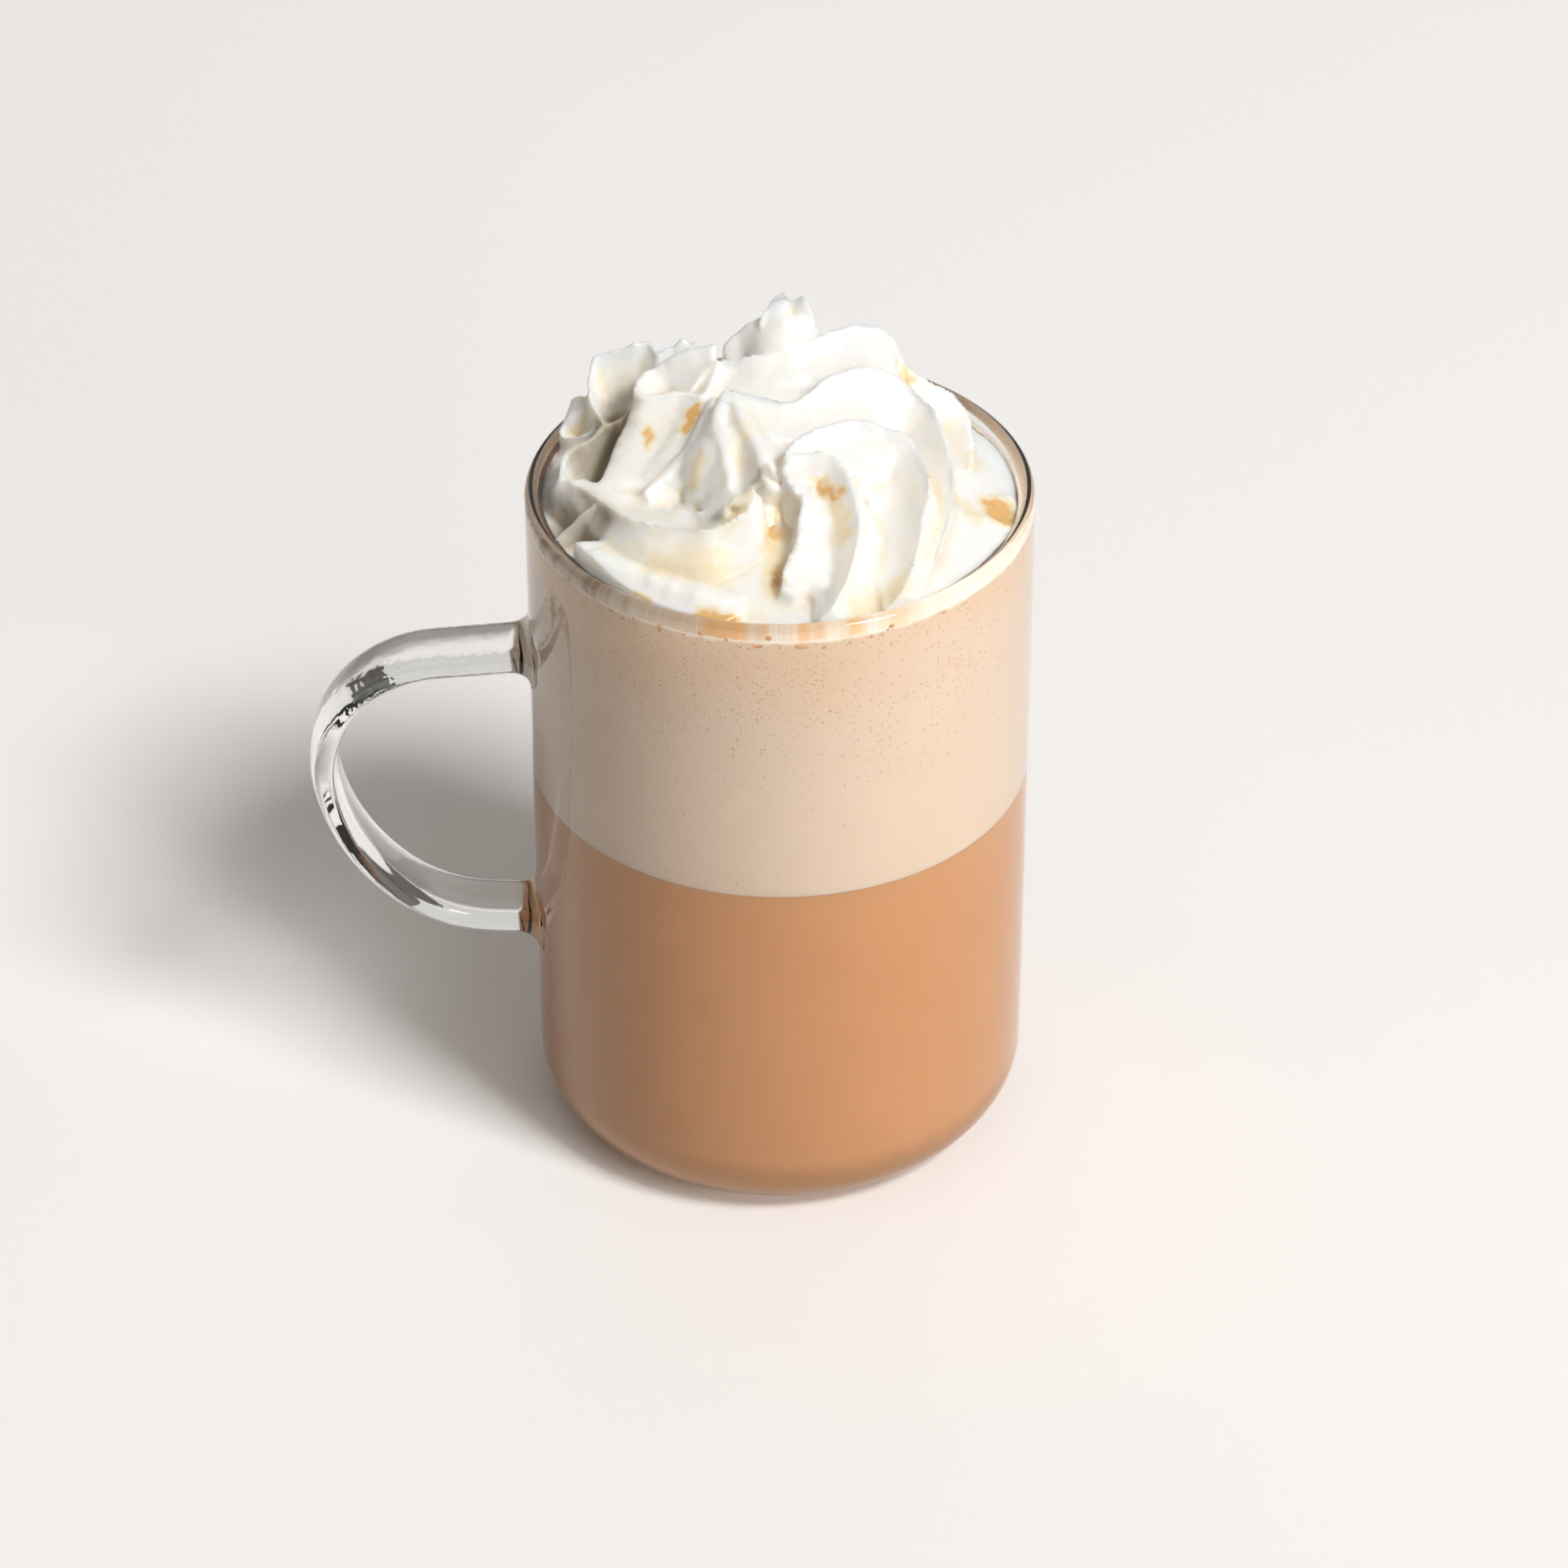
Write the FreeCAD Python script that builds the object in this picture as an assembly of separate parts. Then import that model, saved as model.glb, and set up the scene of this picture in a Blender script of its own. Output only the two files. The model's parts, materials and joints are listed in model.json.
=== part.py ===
import FreeCAD, Part
import math
import os

# A tall glass mug of layered coffee: brown latte below, pale milk foam above it, and a piped
# swirl of whipped cream that stands over the lip.  Millimetres, +Z up.  The origin is the middle
# of the mug's foot on the table, and the handle points along -X.

V = FreeCAD.Vector

# Glass body
BODY_RADIUS = 40.0
BODY_HEIGHT = 117.0
WALL = 2.2
FLOOR = 3.4
FOOT_ROUND = 11.0           # outer bend between the foot and the side

# Handle: a flattened glass bar, bent from three tangent arcs and melted onto the wall
HANDLE_ROOT_HEIGHT = 87.6   # centreline of the upper root
HANDLE_WIDTH = 11.2
HANDLE_THICK = 4.6
HANDLE_EDGE_ROUND = 1.9
HANDLE_DROOP = 4.0          # degrees that both roots slope down, away from level
HANDLE_REACH_RUN = 15.0     # straight run out of the upper root
SHOULDER_RADIUS = 19.9
SHOULDER_TURN = 95.0
BELLY_RADIUS = 36.9
BELLY_TURN = 37.0
HEEL_RADIUS = 24.0
ROOT_FLARE = 3.6            # fillet where the bar melts into the wall

# Drink
LATTE_LEVEL = 65.5          # where the foam starts
LIP_TO_FOAM = 3.4           # how far the foam's surface lies below the lip

# Whipped cream: a dome cut by spiral folds that wind round an eye, off the mug's axis
DOME_RISE = 16.0            # crown of the dome above the lip
DOME_X = -3.0
DOME_Y = 0.0
DOME_REACH = 2.2            # the dome comes down to the lip this far beyond the inside of the wall
SWELLS = {                  # what stands proud of the dome, or is hollowed from it: x, y, rise, spread
    "tip": (1.0, 20.0, 10.5, 3.4),
    "far_shoulder": (13.0, 13.0, 6.0, 8.0),
    "handle_side": (-27.0, 12.0, 6.5, 6.5),
    "hollow": (-22.0, 0.0, -6.0, 5.0),
}
EYE_X = -6.5
EYE_Y = -13.0
EYE_RADIUS = 1.0            # small pit at the eye, where the nozzle let go
FOLD_COUNT = 8
FOLD_TURN = 14.0            # degrees that the whole swirl is turned about the eye
FOLD_TWIST = 4.0            # degrees that a fold turns for each millimetre out from the eye
SWEPT_FOLD = 6.0            # this fold sweeps further round than the others
SWEPT_TURN = 34.0           # degrees by which it does, once clear of the eye
SWEPT_REACH = 20.0          # distance from the eye by which it has
SWEPT_WIDTH = 1.0           # how many folds either side of it follow
FOLD_DEPTH = 7.5            # rise of a crest above the hollow beside it
FOLD_CREST = 0.80           # share of a fold's width at which its sharp crest lies
FOLD_LEAN = 1.6             # how far a crest leans out over the next fold
FOLD_FULL = 13.0            # distance from the eye at which the folds reach their full depth
RIPPLE_DEPTH = 0.9          # uneven rise and fall along the crests
RIPPLE_LENGTH = 10.5
EDGE_DIP = 4.0              # the dome's edge bends down inside the lip
EDGE_START = 0.75           # share of the mug's inner radius at which that bend begins
CREAM_ROWS = 26             # rings of the cream's control net, from the eye outwards
CREAM_MARGIN = 3.0          # how far that net reaches beyond the wall before trimming

INNER_RADIUS = BODY_RADIUS - WALL
INNER_ROUND = FOOT_ROUND - WALL
FOAM_LEVEL = BODY_HEIGHT - LIP_TO_FOAM
TOUCHING = 0.01             # two places nearer than this are the same


def polar(radius, degrees):
    return radius * math.cos(math.radians(degrees)), radius * math.sin(math.radians(degrees))


def side_point(x, z):
    return V(x, 0, z)


def corner_arc(centre_x, centre_z, radius, start, end):
    """Arc in the XZ plane about a centre, from one angle to another in degrees."""
    points = []
    for share in (0.0, 0.5, 1.0):
        dx, dz = polar(radius, start + (end - start) * share)
        points.append(side_point(centre_x + dx, centre_z + dz))
    return Part.Arc(*points).toShape()


def line(a, b):
    return Part.LineSegment(a, b).toShape()


def revolve(edges):
    profile = Part.Face(Part.Wire(edges))
    return profile.revolve(V(0, 0, 0), V(0, 0, 1), 360)


def glass_body():
    """Straight-sided beaker with a bent foot and a fire-rounded lip."""
    lip = WALL / 2
    lip_height = BODY_HEIGHT - lip
    foot_edge = BODY_RADIUS - FOOT_ROUND
    floor_edge = INNER_RADIUS - INNER_ROUND
    edges = [
        line(side_point(0, 0), side_point(foot_edge, 0)),
        corner_arc(foot_edge, FOOT_ROUND, FOOT_ROUND, -90, 0),
        line(side_point(BODY_RADIUS, FOOT_ROUND), side_point(BODY_RADIUS, lip_height)),
        corner_arc(BODY_RADIUS - lip, lip_height, lip, 0, 180),
        line(side_point(INNER_RADIUS, lip_height), side_point(INNER_RADIUS, FLOOR + INNER_ROUND)),
        corner_arc(floor_edge, FLOOR + INNER_ROUND, INNER_ROUND, 0, -90),
        line(side_point(floor_edge, FLOOR), side_point(0, FLOOR)),
        line(side_point(0, FLOOR), side_point(0, 0)),
    ]
    return revolve(edges)


def handle_path():
    """Centreline from inside the wall, out, round three tangent arcs, and back into the wall."""
    root_x = -(BODY_RADIUS - WALL / 2)
    heel_turn = 180 - 2 * HANDLE_DROOP - SHOULDER_TURN - BELLY_TURN
    heading = 180 + HANDLE_DROOP
    x, z = root_x, HANDLE_ROOT_HEIGHT
    edges = []

    dx, dz = polar(HANDLE_REACH_RUN + WALL / 2, heading)
    edges.append(line(side_point(x, z), side_point(x + dx, z + dz)))
    x, z = x + dx, z + dz
    for radius, turn in (
        (SHOULDER_RADIUS, SHOULDER_TURN),
        (BELLY_RADIUS, BELLY_TURN),
        (HEEL_RADIUS, heel_turn),
    ):
        nx, nz = polar(radius, heading + 90)
        edges.append(corner_arc(x + nx, z + nz, radius, heading - 90, heading - 90 + turn))
        heading += turn
        ex, ez = polar(radius, heading - 90)
        x, z = x + nx + ex, z + nz + ez
    run = (root_x - x) / math.cos(math.radians(heading))
    dx, dz = polar(run, heading)
    edges.append(line(side_point(x, z), side_point(x + dx, z + dz)))
    return Part.Wire(edges)


def bar_section():
    """Rounded rectangle, square to the start of the handle's path."""
    half_w = HANDLE_WIDTH / 2
    half_t = HANDLE_THICK / 2
    arcs = []
    for start, side, top in ((0, 1, 1), (90, -1, 1), (180, -1, -1), (270, 1, -1)):
        centre = V(0, side * (half_w - HANDLE_EDGE_ROUND), top * (half_t - HANDLE_EDGE_ROUND))
        points = []
        for angle in (start, start + 45, start + 90):
            dy, dz = polar(HANDLE_EDGE_ROUND, angle)
            points.append(centre + V(0, dy, dz))
        arcs.append(points)
    edges = []
    for here, following in zip(arcs, arcs[1:] + arcs[:1]):
        edges.append(Part.Arc(*here).toShape())
        edges.append(line(here[2], following[0]))
    section = Part.Wire(edges)
    section.rotate(V(0, 0, 0), V(0, 1, 0), -HANDLE_DROOP)
    section.translate(side_point(-(BODY_RADIUS - WALL / 2), HANDLE_ROOT_HEIGHT))
    return section


def handle():
    return handle_path().makePipeShell([bar_section()], True, False)


def meets_wall(edge):
    """True for the edges where the handle's bar enters the outside of the body."""
    span = edge.LastParameter - edge.FirstParameter
    for share in (0.1, 0.5, 0.9):
        point = edge.valueAt(edge.FirstParameter + span * share)
        off_wall = abs(math.hypot(point.x, point.y) - BODY_RADIUS) > TOUCHING
        off_handle = point.x > 0 or abs(point.y) > HANDLE_WIDTH / 2 + TOUCHING
        if off_wall or off_handle:
            return False
    return True


def mug():
    blank = glass_body().fuse(handle()).removeSplitter()
    roots = [edge for edge in blank.Edges if meets_wall(edge)]
    return blank.makeFillet(ROOT_FLARE, roots)


def latte():
    """Brown drink, from the rounded inner floor up to the foam."""
    floor_edge = INNER_RADIUS - INNER_ROUND
    edges = [
        line(side_point(0, FLOOR), side_point(floor_edge, FLOOR)),
        corner_arc(floor_edge, FLOOR + INNER_ROUND, INNER_ROUND, -90, 0),
        line(side_point(INNER_RADIUS, FLOOR + INNER_ROUND), side_point(INNER_RADIUS, LATTE_LEVEL)),
        line(side_point(INNER_RADIUS, LATTE_LEVEL), side_point(0, LATTE_LEVEL)),
        line(side_point(0, LATTE_LEVEL), side_point(0, FLOOR)),
    ]
    return revolve(edges)


def milk_foam():
    return Part.makeCylinder(INNER_RADIUS, FOAM_LEVEL - LATTE_LEVEL, V(0, 0, LATTE_LEVEL))


def smooth_step(low, high, value):
    share = min(1.0, max(0.0, (value - low) / (high - low)))
    return share * share * (3 - 2 * share)


def fold_stations():
    """Shares of a fold's width where its control net has lines, closest round the crest."""
    rise = [FOLD_CREST * share for share in (0.0, 0.25, 0.5, 0.75, 0.93)]
    fall = [FOLD_CREST + (1 - FOLD_CREST) * share for share in (0.0, 0.12, 0.5)]
    return rise + fall


def fold_profile(share):
    """Height across one fold, 0 to 1: a hollow rise to a sharp crest, then a steep drop."""
    if share <= FOLD_CREST:
        return (share / FOLD_CREST) ** 1.8
    return 1 - smooth_step(FOLD_CREST, 1.0, share)


def dome_height(x, y):
    """The cream's surface over a point of the mug's mouth, without its folds."""
    from_crown = math.hypot(x - DOME_X, y - DOME_Y)
    height = BODY_HEIGHT + DOME_RISE * (1 - (from_crown / (INNER_RADIUS + DOME_REACH)) ** 2)
    for swell_x, swell_y, rise, spread in SWELLS.values():
        away = math.hypot(x - swell_x, y - swell_y)
        height += rise * math.exp(-(away / spread) ** 2 / 2)
    return height - EDGE_DIP * smooth_step(EDGE_START, 1.0, math.hypot(x, y) / INNER_RADIUS)


def fold_bearing(place, from_eye):
    """Direction from the eye of a place counted in folds round it, 0 to FOLD_COUNT."""
    away = abs(place - SWEPT_FOLD - FOLD_CREST)
    away = min(away, FOLD_COUNT - away)
    follows = math.exp(-(away / SWEPT_WIDTH) ** 2 / 2)
    swept = SWEPT_TURN * smooth_step(0, SWEPT_REACH, from_eye) * follows
    return FOLD_TURN + place * 360 / FOLD_COUNT - FOLD_TWIST * from_eye - swept


def fold_point(fold, share, from_eye):
    """Point of the net on one fold, at a share of its width and a distance from the eye."""
    strength = smooth_step(EYE_RADIUS, FOLD_FULL, from_eye)
    lift = fold_profile(share)
    bearing = fold_bearing(fold + share, from_eye)
    dx, dy = polar(from_eye + FOLD_LEAN * strength * lift, bearing)
    x, y = EYE_X + dx, EYE_Y + dy
    ripple = RIPPLE_DEPTH * math.sin(2 * math.pi * from_eye / RIPPLE_LENGTH + 2.4 * fold)
    rise = strength * (FOLD_DEPTH * (lift - 0.5) + ripple * lift)
    return V(x, y, dome_height(x, y) + rise)


def cream_skin():
    """Smooth skin over a control net whose lines run along the folds and round the eye."""
    reach = INNER_RADIUS + math.hypot(EYE_X, EYE_Y) + CREAM_MARGIN
    poles = []
    for row in range(CREAM_ROWS):
        from_eye = EYE_RADIUS + (reach - EYE_RADIUS) * row / (CREAM_ROWS - 1)
        ring = []
        for fold in range(FOLD_COUNT):
            for share in fold_stations():
                ring.append(fold_point(fold, share, from_eye))
        poles.append(ring)
    degree = 3
    row_knots = list(range(CREAM_ROWS - degree + 1))
    row_mults = [degree + 1] + [1] * (len(row_knots) - 2) + [degree + 1]
    ring_knots = list(range(len(poles[0]) + 1))
    ring_mults = [1] * len(ring_knots)
    skin = Part.BSplineSurface()
    skin.buildFromPolesMultsKnots(
        poles, row_mults, ring_mults, row_knots, ring_knots, False, True, degree, degree
    )
    return skin.toShape()


def whipped_cream():
    """The space under the swirled skin, trimmed to the mug's mouth and set on the foam."""
    under = cream_skin().extrude(V(0, 0, -BODY_HEIGHT))
    swirl = Part.makeCylinder(INNER_RADIUS, 2 * BODY_HEIGHT).common(under)
    swirl = swirl.cut(Part.makeCylinder(BODY_RADIUS, FOAM_LEVEL))
    pit_floor = dome_height(EYE_X, EYE_Y) - EYE_RADIUS
    eye = Part.makeCylinder(2 * EYE_RADIUS, pit_floor - FOAM_LEVEL, V(EYE_X, EYE_Y, FOAM_LEVEL))
    return swirl.fuse(eye).removeSplitter()


PIECES = {
    "mug": mug,
    "latte": latte,
    "milk_foam": milk_foam,
    "whipped_cream": whipped_cream,
}


def main():
    os.makedirs("parts", exist_ok=True)
    for name, make in PIECES.items():
        shape = make()
        print(name, "solids", len(shape.Solids), "valid", shape.isValid(), "mm3", round(shape.Volume))
        shape.Solids[0].exportStep(os.path.join("parts", name + ".step"))


main()
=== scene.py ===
import json
import math
import bpy
import numpy as np
from mathutils import Matrix, Vector, noise

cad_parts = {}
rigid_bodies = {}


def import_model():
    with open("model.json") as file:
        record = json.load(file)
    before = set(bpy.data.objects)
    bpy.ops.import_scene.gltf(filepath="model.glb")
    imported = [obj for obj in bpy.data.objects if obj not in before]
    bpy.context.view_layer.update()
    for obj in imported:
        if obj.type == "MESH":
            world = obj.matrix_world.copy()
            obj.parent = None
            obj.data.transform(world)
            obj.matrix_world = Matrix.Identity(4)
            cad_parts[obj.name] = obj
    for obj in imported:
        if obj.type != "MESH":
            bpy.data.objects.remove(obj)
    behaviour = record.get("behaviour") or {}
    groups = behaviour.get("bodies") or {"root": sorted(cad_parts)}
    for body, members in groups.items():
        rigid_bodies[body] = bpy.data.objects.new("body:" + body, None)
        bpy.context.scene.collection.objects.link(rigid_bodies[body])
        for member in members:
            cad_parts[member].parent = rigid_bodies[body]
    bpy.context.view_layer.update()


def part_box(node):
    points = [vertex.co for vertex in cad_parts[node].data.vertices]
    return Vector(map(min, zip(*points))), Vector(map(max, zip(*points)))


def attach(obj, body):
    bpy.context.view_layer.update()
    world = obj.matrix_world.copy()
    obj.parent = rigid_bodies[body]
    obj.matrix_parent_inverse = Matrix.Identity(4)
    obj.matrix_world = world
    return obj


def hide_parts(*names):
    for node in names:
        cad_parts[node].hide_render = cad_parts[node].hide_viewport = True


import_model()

mm = 0.001
print("frame loaded")

# the sizes that the pieces share, read from the frame
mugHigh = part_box("mug")[1]
latteLow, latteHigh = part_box("latte")
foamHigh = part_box("milk_foam")[1]
bodyRadius = mugHigh.x
innerRadius = foamHigh.x
lipZ = mugHigh.z
floorZ = latteLow.z
foamZ = latteHigh.z  # where the foam starts
froth = foamHigh.z  # the foam's surface
wall = bodyRadius - innerRadius
intoGlass = 0.12 * mm  # fillings reach this far into the wall, so that no air shows
hub = 0.5 * mm  # the small disc that a turned piece starts and ends with
weld = 0.005 * mm  # points of a turned piece nearer than this are merged
fineWeld = 0.001 * mm  # the same for small and cut pieces


# small helpers

def clearSelection():
    if bpy.context.mode != "OBJECT":
        bpy.ops.object.mode_set(mode="OBJECT")
    bpy.ops.object.select_all(action="DESELECT")


def makeActive(piece):
    clearSelection()
    piece.select_set(True)
    bpy.context.view_layer.objects.active = piece


def polar(radius, degrees):
    return radius * math.cos(math.radians(degrees)), radius * math.sin(math.radians(degrees))


def smoothStep(low, high, value):
    share = np.clip((value - low) / (high - low), 0.0, 1.0)
    return share * share * (3 - 2 * share)


def arcRings(centreRadius, centreZ, radius, startAngle, endAngle, steps):
    rings = []
    for i in range(steps + 1):
        dr, dz = polar(radius, startAngle + (endAngle - startAngle) * i / steps)
        rings.append((centreRadius + dr, centreZ + dz))
    return rings


def turnedPiece(name, rings, sides):
    # a disc drawn up ring by ring, as on a lathe, and closed by a last disc
    clearSelection()
    radius, z = rings[0]
    bpy.ops.mesh.primitive_circle_add(vertices=sides, radius=radius, fill_type="NGON", location=(0, 0, z))
    piece = bpy.context.object
    piece.name = name
    bpy.ops.object.transform_apply(location=True, rotation=True, scale=True)
    bpy.ops.object.mode_set(mode="EDIT")
    bpy.ops.mesh.select_all(action="SELECT")
    for newRadius, newZ in rings[1:]:
        bpy.ops.mesh.extrude_region_move(TRANSFORM_OT_translate={"value": (0, 0, newZ - z)})
        grow = newRadius / radius
        bpy.ops.transform.resize(value=(grow, grow, 1), center_override=(0, 0, newZ))
        radius, z = newRadius, newZ
    bpy.ops.mesh.select_all(action="SELECT")
    bpy.ops.mesh.remove_doubles(threshold=weld)
    bpy.ops.mesh.normals_make_consistent(inside=False)
    bpy.ops.object.mode_set(mode="OBJECT")
    return piece


def finishPiece(piece, material, slotName, *nodes):
    piece.data.materials.clear()
    piece.data.materials.append(material)
    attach(piece, "root")
    if nodes:
        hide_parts(*nodes)


def smoothShade(piece, degrees):
    makeActive(piece)
    bpy.ops.object.shade_smooth_by_angle(angle=math.radians(degrees))


def applyAll(piece):
    makeActive(piece)
    for modifier in list(piece.modifiers):
        bpy.ops.object.modifier_apply(modifier=modifier.name)


def vertexArray(data, what):
    values = np.empty(len(data.vertices) * 3)
    data.vertices.foreach_get(what, values)
    return values.reshape(-1, 3)


# the mug: a turned body, with a bent bar for its handle

mugShape = {
    "sides": 192,
    "footRound": 11.0 * mm,
    "footSteps": 16, "lipSteps": 12, "innerSteps": 14,  # steps round each bend
    "wallRings": (0.2, 0.4, 0.6, 0.8, 0.95),  # shares of the height
    "rootZ": 87.6 * mm,  # centreline of the upper root
    "barWidth": 11.2 * mm,
    "barThick": 4.6 * mm,
    "barSides": 48,
    "barSquareness": 3.0,
    "droop": 4.0,  # degrees that the bar runs down at both of its roots
    "reach": 15.0 * mm,
    "reachSteps": 30, "returnSteps": 20,
    "bends": ((19.9 * mm, 95.0), (36.9 * mm, 37.0), (24.0 * mm, 40.0)),  # radius and turn
    "bendStep": 3,  # degrees
    "flare": 3.6 * mm,
    "flareSink": 0.25 * mm,  # the flare starts this far inside the wall
    "rootDepth": 1.9 * mm,
    "smooth": 40,  # degrees, past which an edge stays sharp
}


def mugBody():
    shape = mugShape
    foot = shape["footRound"]
    inner = foot - wall
    lip = wall / 2
    rings = [(hub, 0.0)]
    rings += arcRings(bodyRadius - foot, foot, foot, -90, 0, shape["footSteps"])
    rings += [(bodyRadius, lipZ * share) for share in shape["wallRings"]]
    rings += arcRings(bodyRadius - lip, lipZ - lip, lip, 0, 180, shape["lipSteps"])
    rings += [(innerRadius, lipZ * share) for share in reversed(shape["wallRings"])]
    rings += arcRings(innerRadius - inner, floorZ + inner, inner, 0, -90, shape["innerSteps"])
    rings += [(hub, floorZ)]
    return turnedPiece("glassMug", rings, shape["sides"])


def drawOut(dx, dz, steps):
    # what is selected is extruded along a straight run, in even steps
    for _ in range(steps):
        bpy.ops.mesh.extrude_region_move(TRANSFORM_OT_translate={"value": (dx / steps, 0, dz / steps)})


def handleBar():
    # one rounded section, drawn out straight and spun round each bend in turn
    shape = mugShape
    clearSelection()
    startX = -(bodyRadius - shape["rootDepth"])
    bpy.ops.mesh.primitive_circle_add(
        vertices=shape["barSides"], radius=1.0, fill_type="NGON",
        location=(startX, 0, shape["rootZ"]), rotation=(0, math.radians(-90), 0),
    )
    bar = bpy.context.object
    bar.name = "handleBar"
    bpy.ops.object.transform_apply(location=True, rotation=True, scale=True)
    power = 2 / shape["barSquareness"]
    for vertex in bar.data.vertices:
        y = vertex.co.y
        z = vertex.co.z - shape["rootZ"]
        vertex.co.y = math.copysign(abs(y) ** power, y) * shape["barWidth"] / 2
        vertex.co.z = shape["rootZ"] + math.copysign(abs(z) ** power, z) * shape["barThick"] / 2
    heading = 180 + shape["droop"]
    x, z = startX, shape["rootZ"]
    bpy.ops.object.mode_set(mode="EDIT")
    bpy.ops.mesh.select_all(action="SELECT")
    bpy.ops.transform.rotate(
        value=math.radians(shape["droop"]), orient_axis="Y", center_override=(x, 0, z)
    )
    dx, dz = polar(shape["rootDepth"] + shape["reach"], heading)
    drawOut(dx, dz, shape["reachSteps"])
    x, z = x + dx, z + dz
    for radius, turn in shape["bends"]:
        nx, nz = polar(radius, heading + 90)
        bpy.ops.mesh.spin(
            steps=round(turn / shape["bendStep"]), angle=math.radians(turn),
            center=(x + nx, 0, z + nz), axis=(0, 1, 0),
        )
        heading += turn
        ex, ez = polar(radius, heading - 90)
        x, z = x + nx + ex, z + nz + ez
    run = (startX - x) / math.cos(math.radians(heading))
    dx, dz = polar(run, heading)
    drawOut(dx, dz, shape["returnSteps"])
    bpy.ops.mesh.select_all(action="SELECT")
    bpy.ops.mesh.normals_make_consistent(inside=False)
    bpy.ops.object.mode_set(mode="OBJECT")
    return bar


def flareRoots(bar):
    # the bar swells in a hollow curve as it melts onto the wall
    flare = mugShape["flare"]
    upper = mugShape["rootZ"]
    sunk = [vertex.co.z for vertex in bar.data.vertices if vertex.co.x > -bodyRadius]
    lower = min(sunk) + mugShape["barThick"] / 2
    for vertex in bar.data.vertices:
        gap = math.hypot(vertex.co.x, vertex.co.y) - bodyRadius + mugShape["flareSink"]
        if gap >= flare:
            continue
        gap = max(gap, 0.0)
        swell = flare - math.sqrt(flare ** 2 - (flare - gap) ** 2)
        rootZ = upper if vertex.co.z > (upper + lower) / 2 else lower
        out = Vector((0, vertex.co.y, vertex.co.z - rootZ))
        if out.length > 0:
            vertex.co += out.normalized() * swell


def buildMug(material):
    mug = mugBody()
    bar = handleBar()
    flareRoots(bar)
    makeActive(mug)
    join = mug.modifiers.new("handle", "BOOLEAN")
    join.operation = "UNION"
    join.solver = "EXACT"
    join.object = bar
    bpy.ops.object.modifier_apply(modifier="handle")
    bpy.data.objects.remove(bar)
    smoothShade(mug, mugShape["smooth"])
    finishPiece(mug, material, "glass", "mug")


# node helpers

def newMaterial(name):
    material = bpy.data.materials.new(name)
    material.use_nodes = True
    tree = material.node_tree
    tree.nodes.clear()
    output = tree.nodes.new("ShaderNodeOutputMaterial")
    shader = tree.nodes.new("ShaderNodeBsdfPrincipled")
    tree.links.new(shader.outputs["BSDF"], output.inputs["Surface"])
    return material, tree, shader


def addNode(tree, kind, **values):
    node = tree.nodes.new(kind)
    for key, value in values.items():
        if key in node.inputs:
            node.inputs[key].default_value = value
        else:
            setattr(node, key, value)
    return node


def objectPlace(tree):
    # a point's place on the object, whole and as x, y and z
    place = tree.nodes.new("ShaderNodeTexCoord").outputs["Object"]
    parts = tree.nodes.new("ShaderNodeSeparateXYZ")
    tree.links.new(place, parts.inputs[0])
    return place, parts.outputs


def noiseAt(tree, place, size, detail=2.0, roughness=0.5):
    # size is in cells to a metre
    node = addNode(tree, "ShaderNodeTexNoise", Scale=size, Detail=detail, Roughness=roughness)
    tree.links.new(place, node.inputs["Vector"])
    return node.outputs["Fac"]


def mixColour(tree, factor, first, second):
    # factor, first and second are sockets or plain values
    mix = tree.nodes.new("ShaderNodeMix")
    mix.data_type = "RGBA"
    for slotIndex, value in ((0, factor), (6, first), (7, second)):
        if isinstance(value, bpy.types.NodeSocket):
            tree.links.new(value, mix.inputs[slotIndex])
        else:
            mix.inputs[slotIndex].default_value = value
    return mix.outputs[2]


def mapRange(tree, value, low, high, toLow=0.0, toHigh=1.0):
    node = tree.nodes.new("ShaderNodeMapRange")
    node.interpolation_type = "SMOOTHSTEP"
    tree.links.new(value, node.inputs["Value"])
    for name, number in (("From Min", low), ("From Max", high), ("To Min", toLow), ("To Max", toHigh)):
        node.inputs[name].default_value = number
    return node.outputs["Result"]


def calc(tree, operation, first, second=None):
    node = tree.nodes.new("ShaderNodeMath")
    node.operation = operation
    for index, value in ((0, first), (1, second)):
        if isinstance(value, bpy.types.NodeSocket):
            tree.links.new(value, node.inputs[index])
        elif value is not None:
            node.inputs[index].default_value = value
    return node.outputs[0]


def addBump(tree, shader, height, strength, distance):
    bump = tree.nodes.new("ShaderNodeBump")
    bump.inputs["Strength"].default_value = strength
    bump.inputs["Distance"].default_value = distance
    tree.links.new(height, bump.inputs["Height"])
    tree.links.new(bump.outputs["Normal"], shader.inputs["Normal"])


def sinkLight(shader, weight, radius, depth):
    # light goes a little way into milk, and the red of it comes back from furthest
    shader.inputs["Subsurface Weight"].default_value = weight
    shader.inputs["Subsurface Radius"].default_value = radius
    shader.inputs["Subsurface Scale"].default_value = depth


# node groups that several of the materials share

def groupSockets(group, inputs, outputs):
    for name, kind, value in inputs:
        socket = group.interface.new_socket(name=name, in_out="INPUT", socket_type=kind)
        if value is not None:
            socket.default_value = value
    for name, kind in outputs:
        group.interface.new_socket(name=name, in_out="OUTPUT", socket_type=kind)
    return group.nodes.new("NodeGroupInput"), group.nodes.new("NodeGroupOutput")


milkPattern = {
    "mottleDetail": 5.0, "mottleRoughness": 0.6, "mottleFade": (0.35, 0.68),
    "leastPit": 0.4,  # added to a random share, before it is multiplied by the dot size
    "pitEdge": 0.5,  # share of a pit's radius over which it deepens
}


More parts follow.
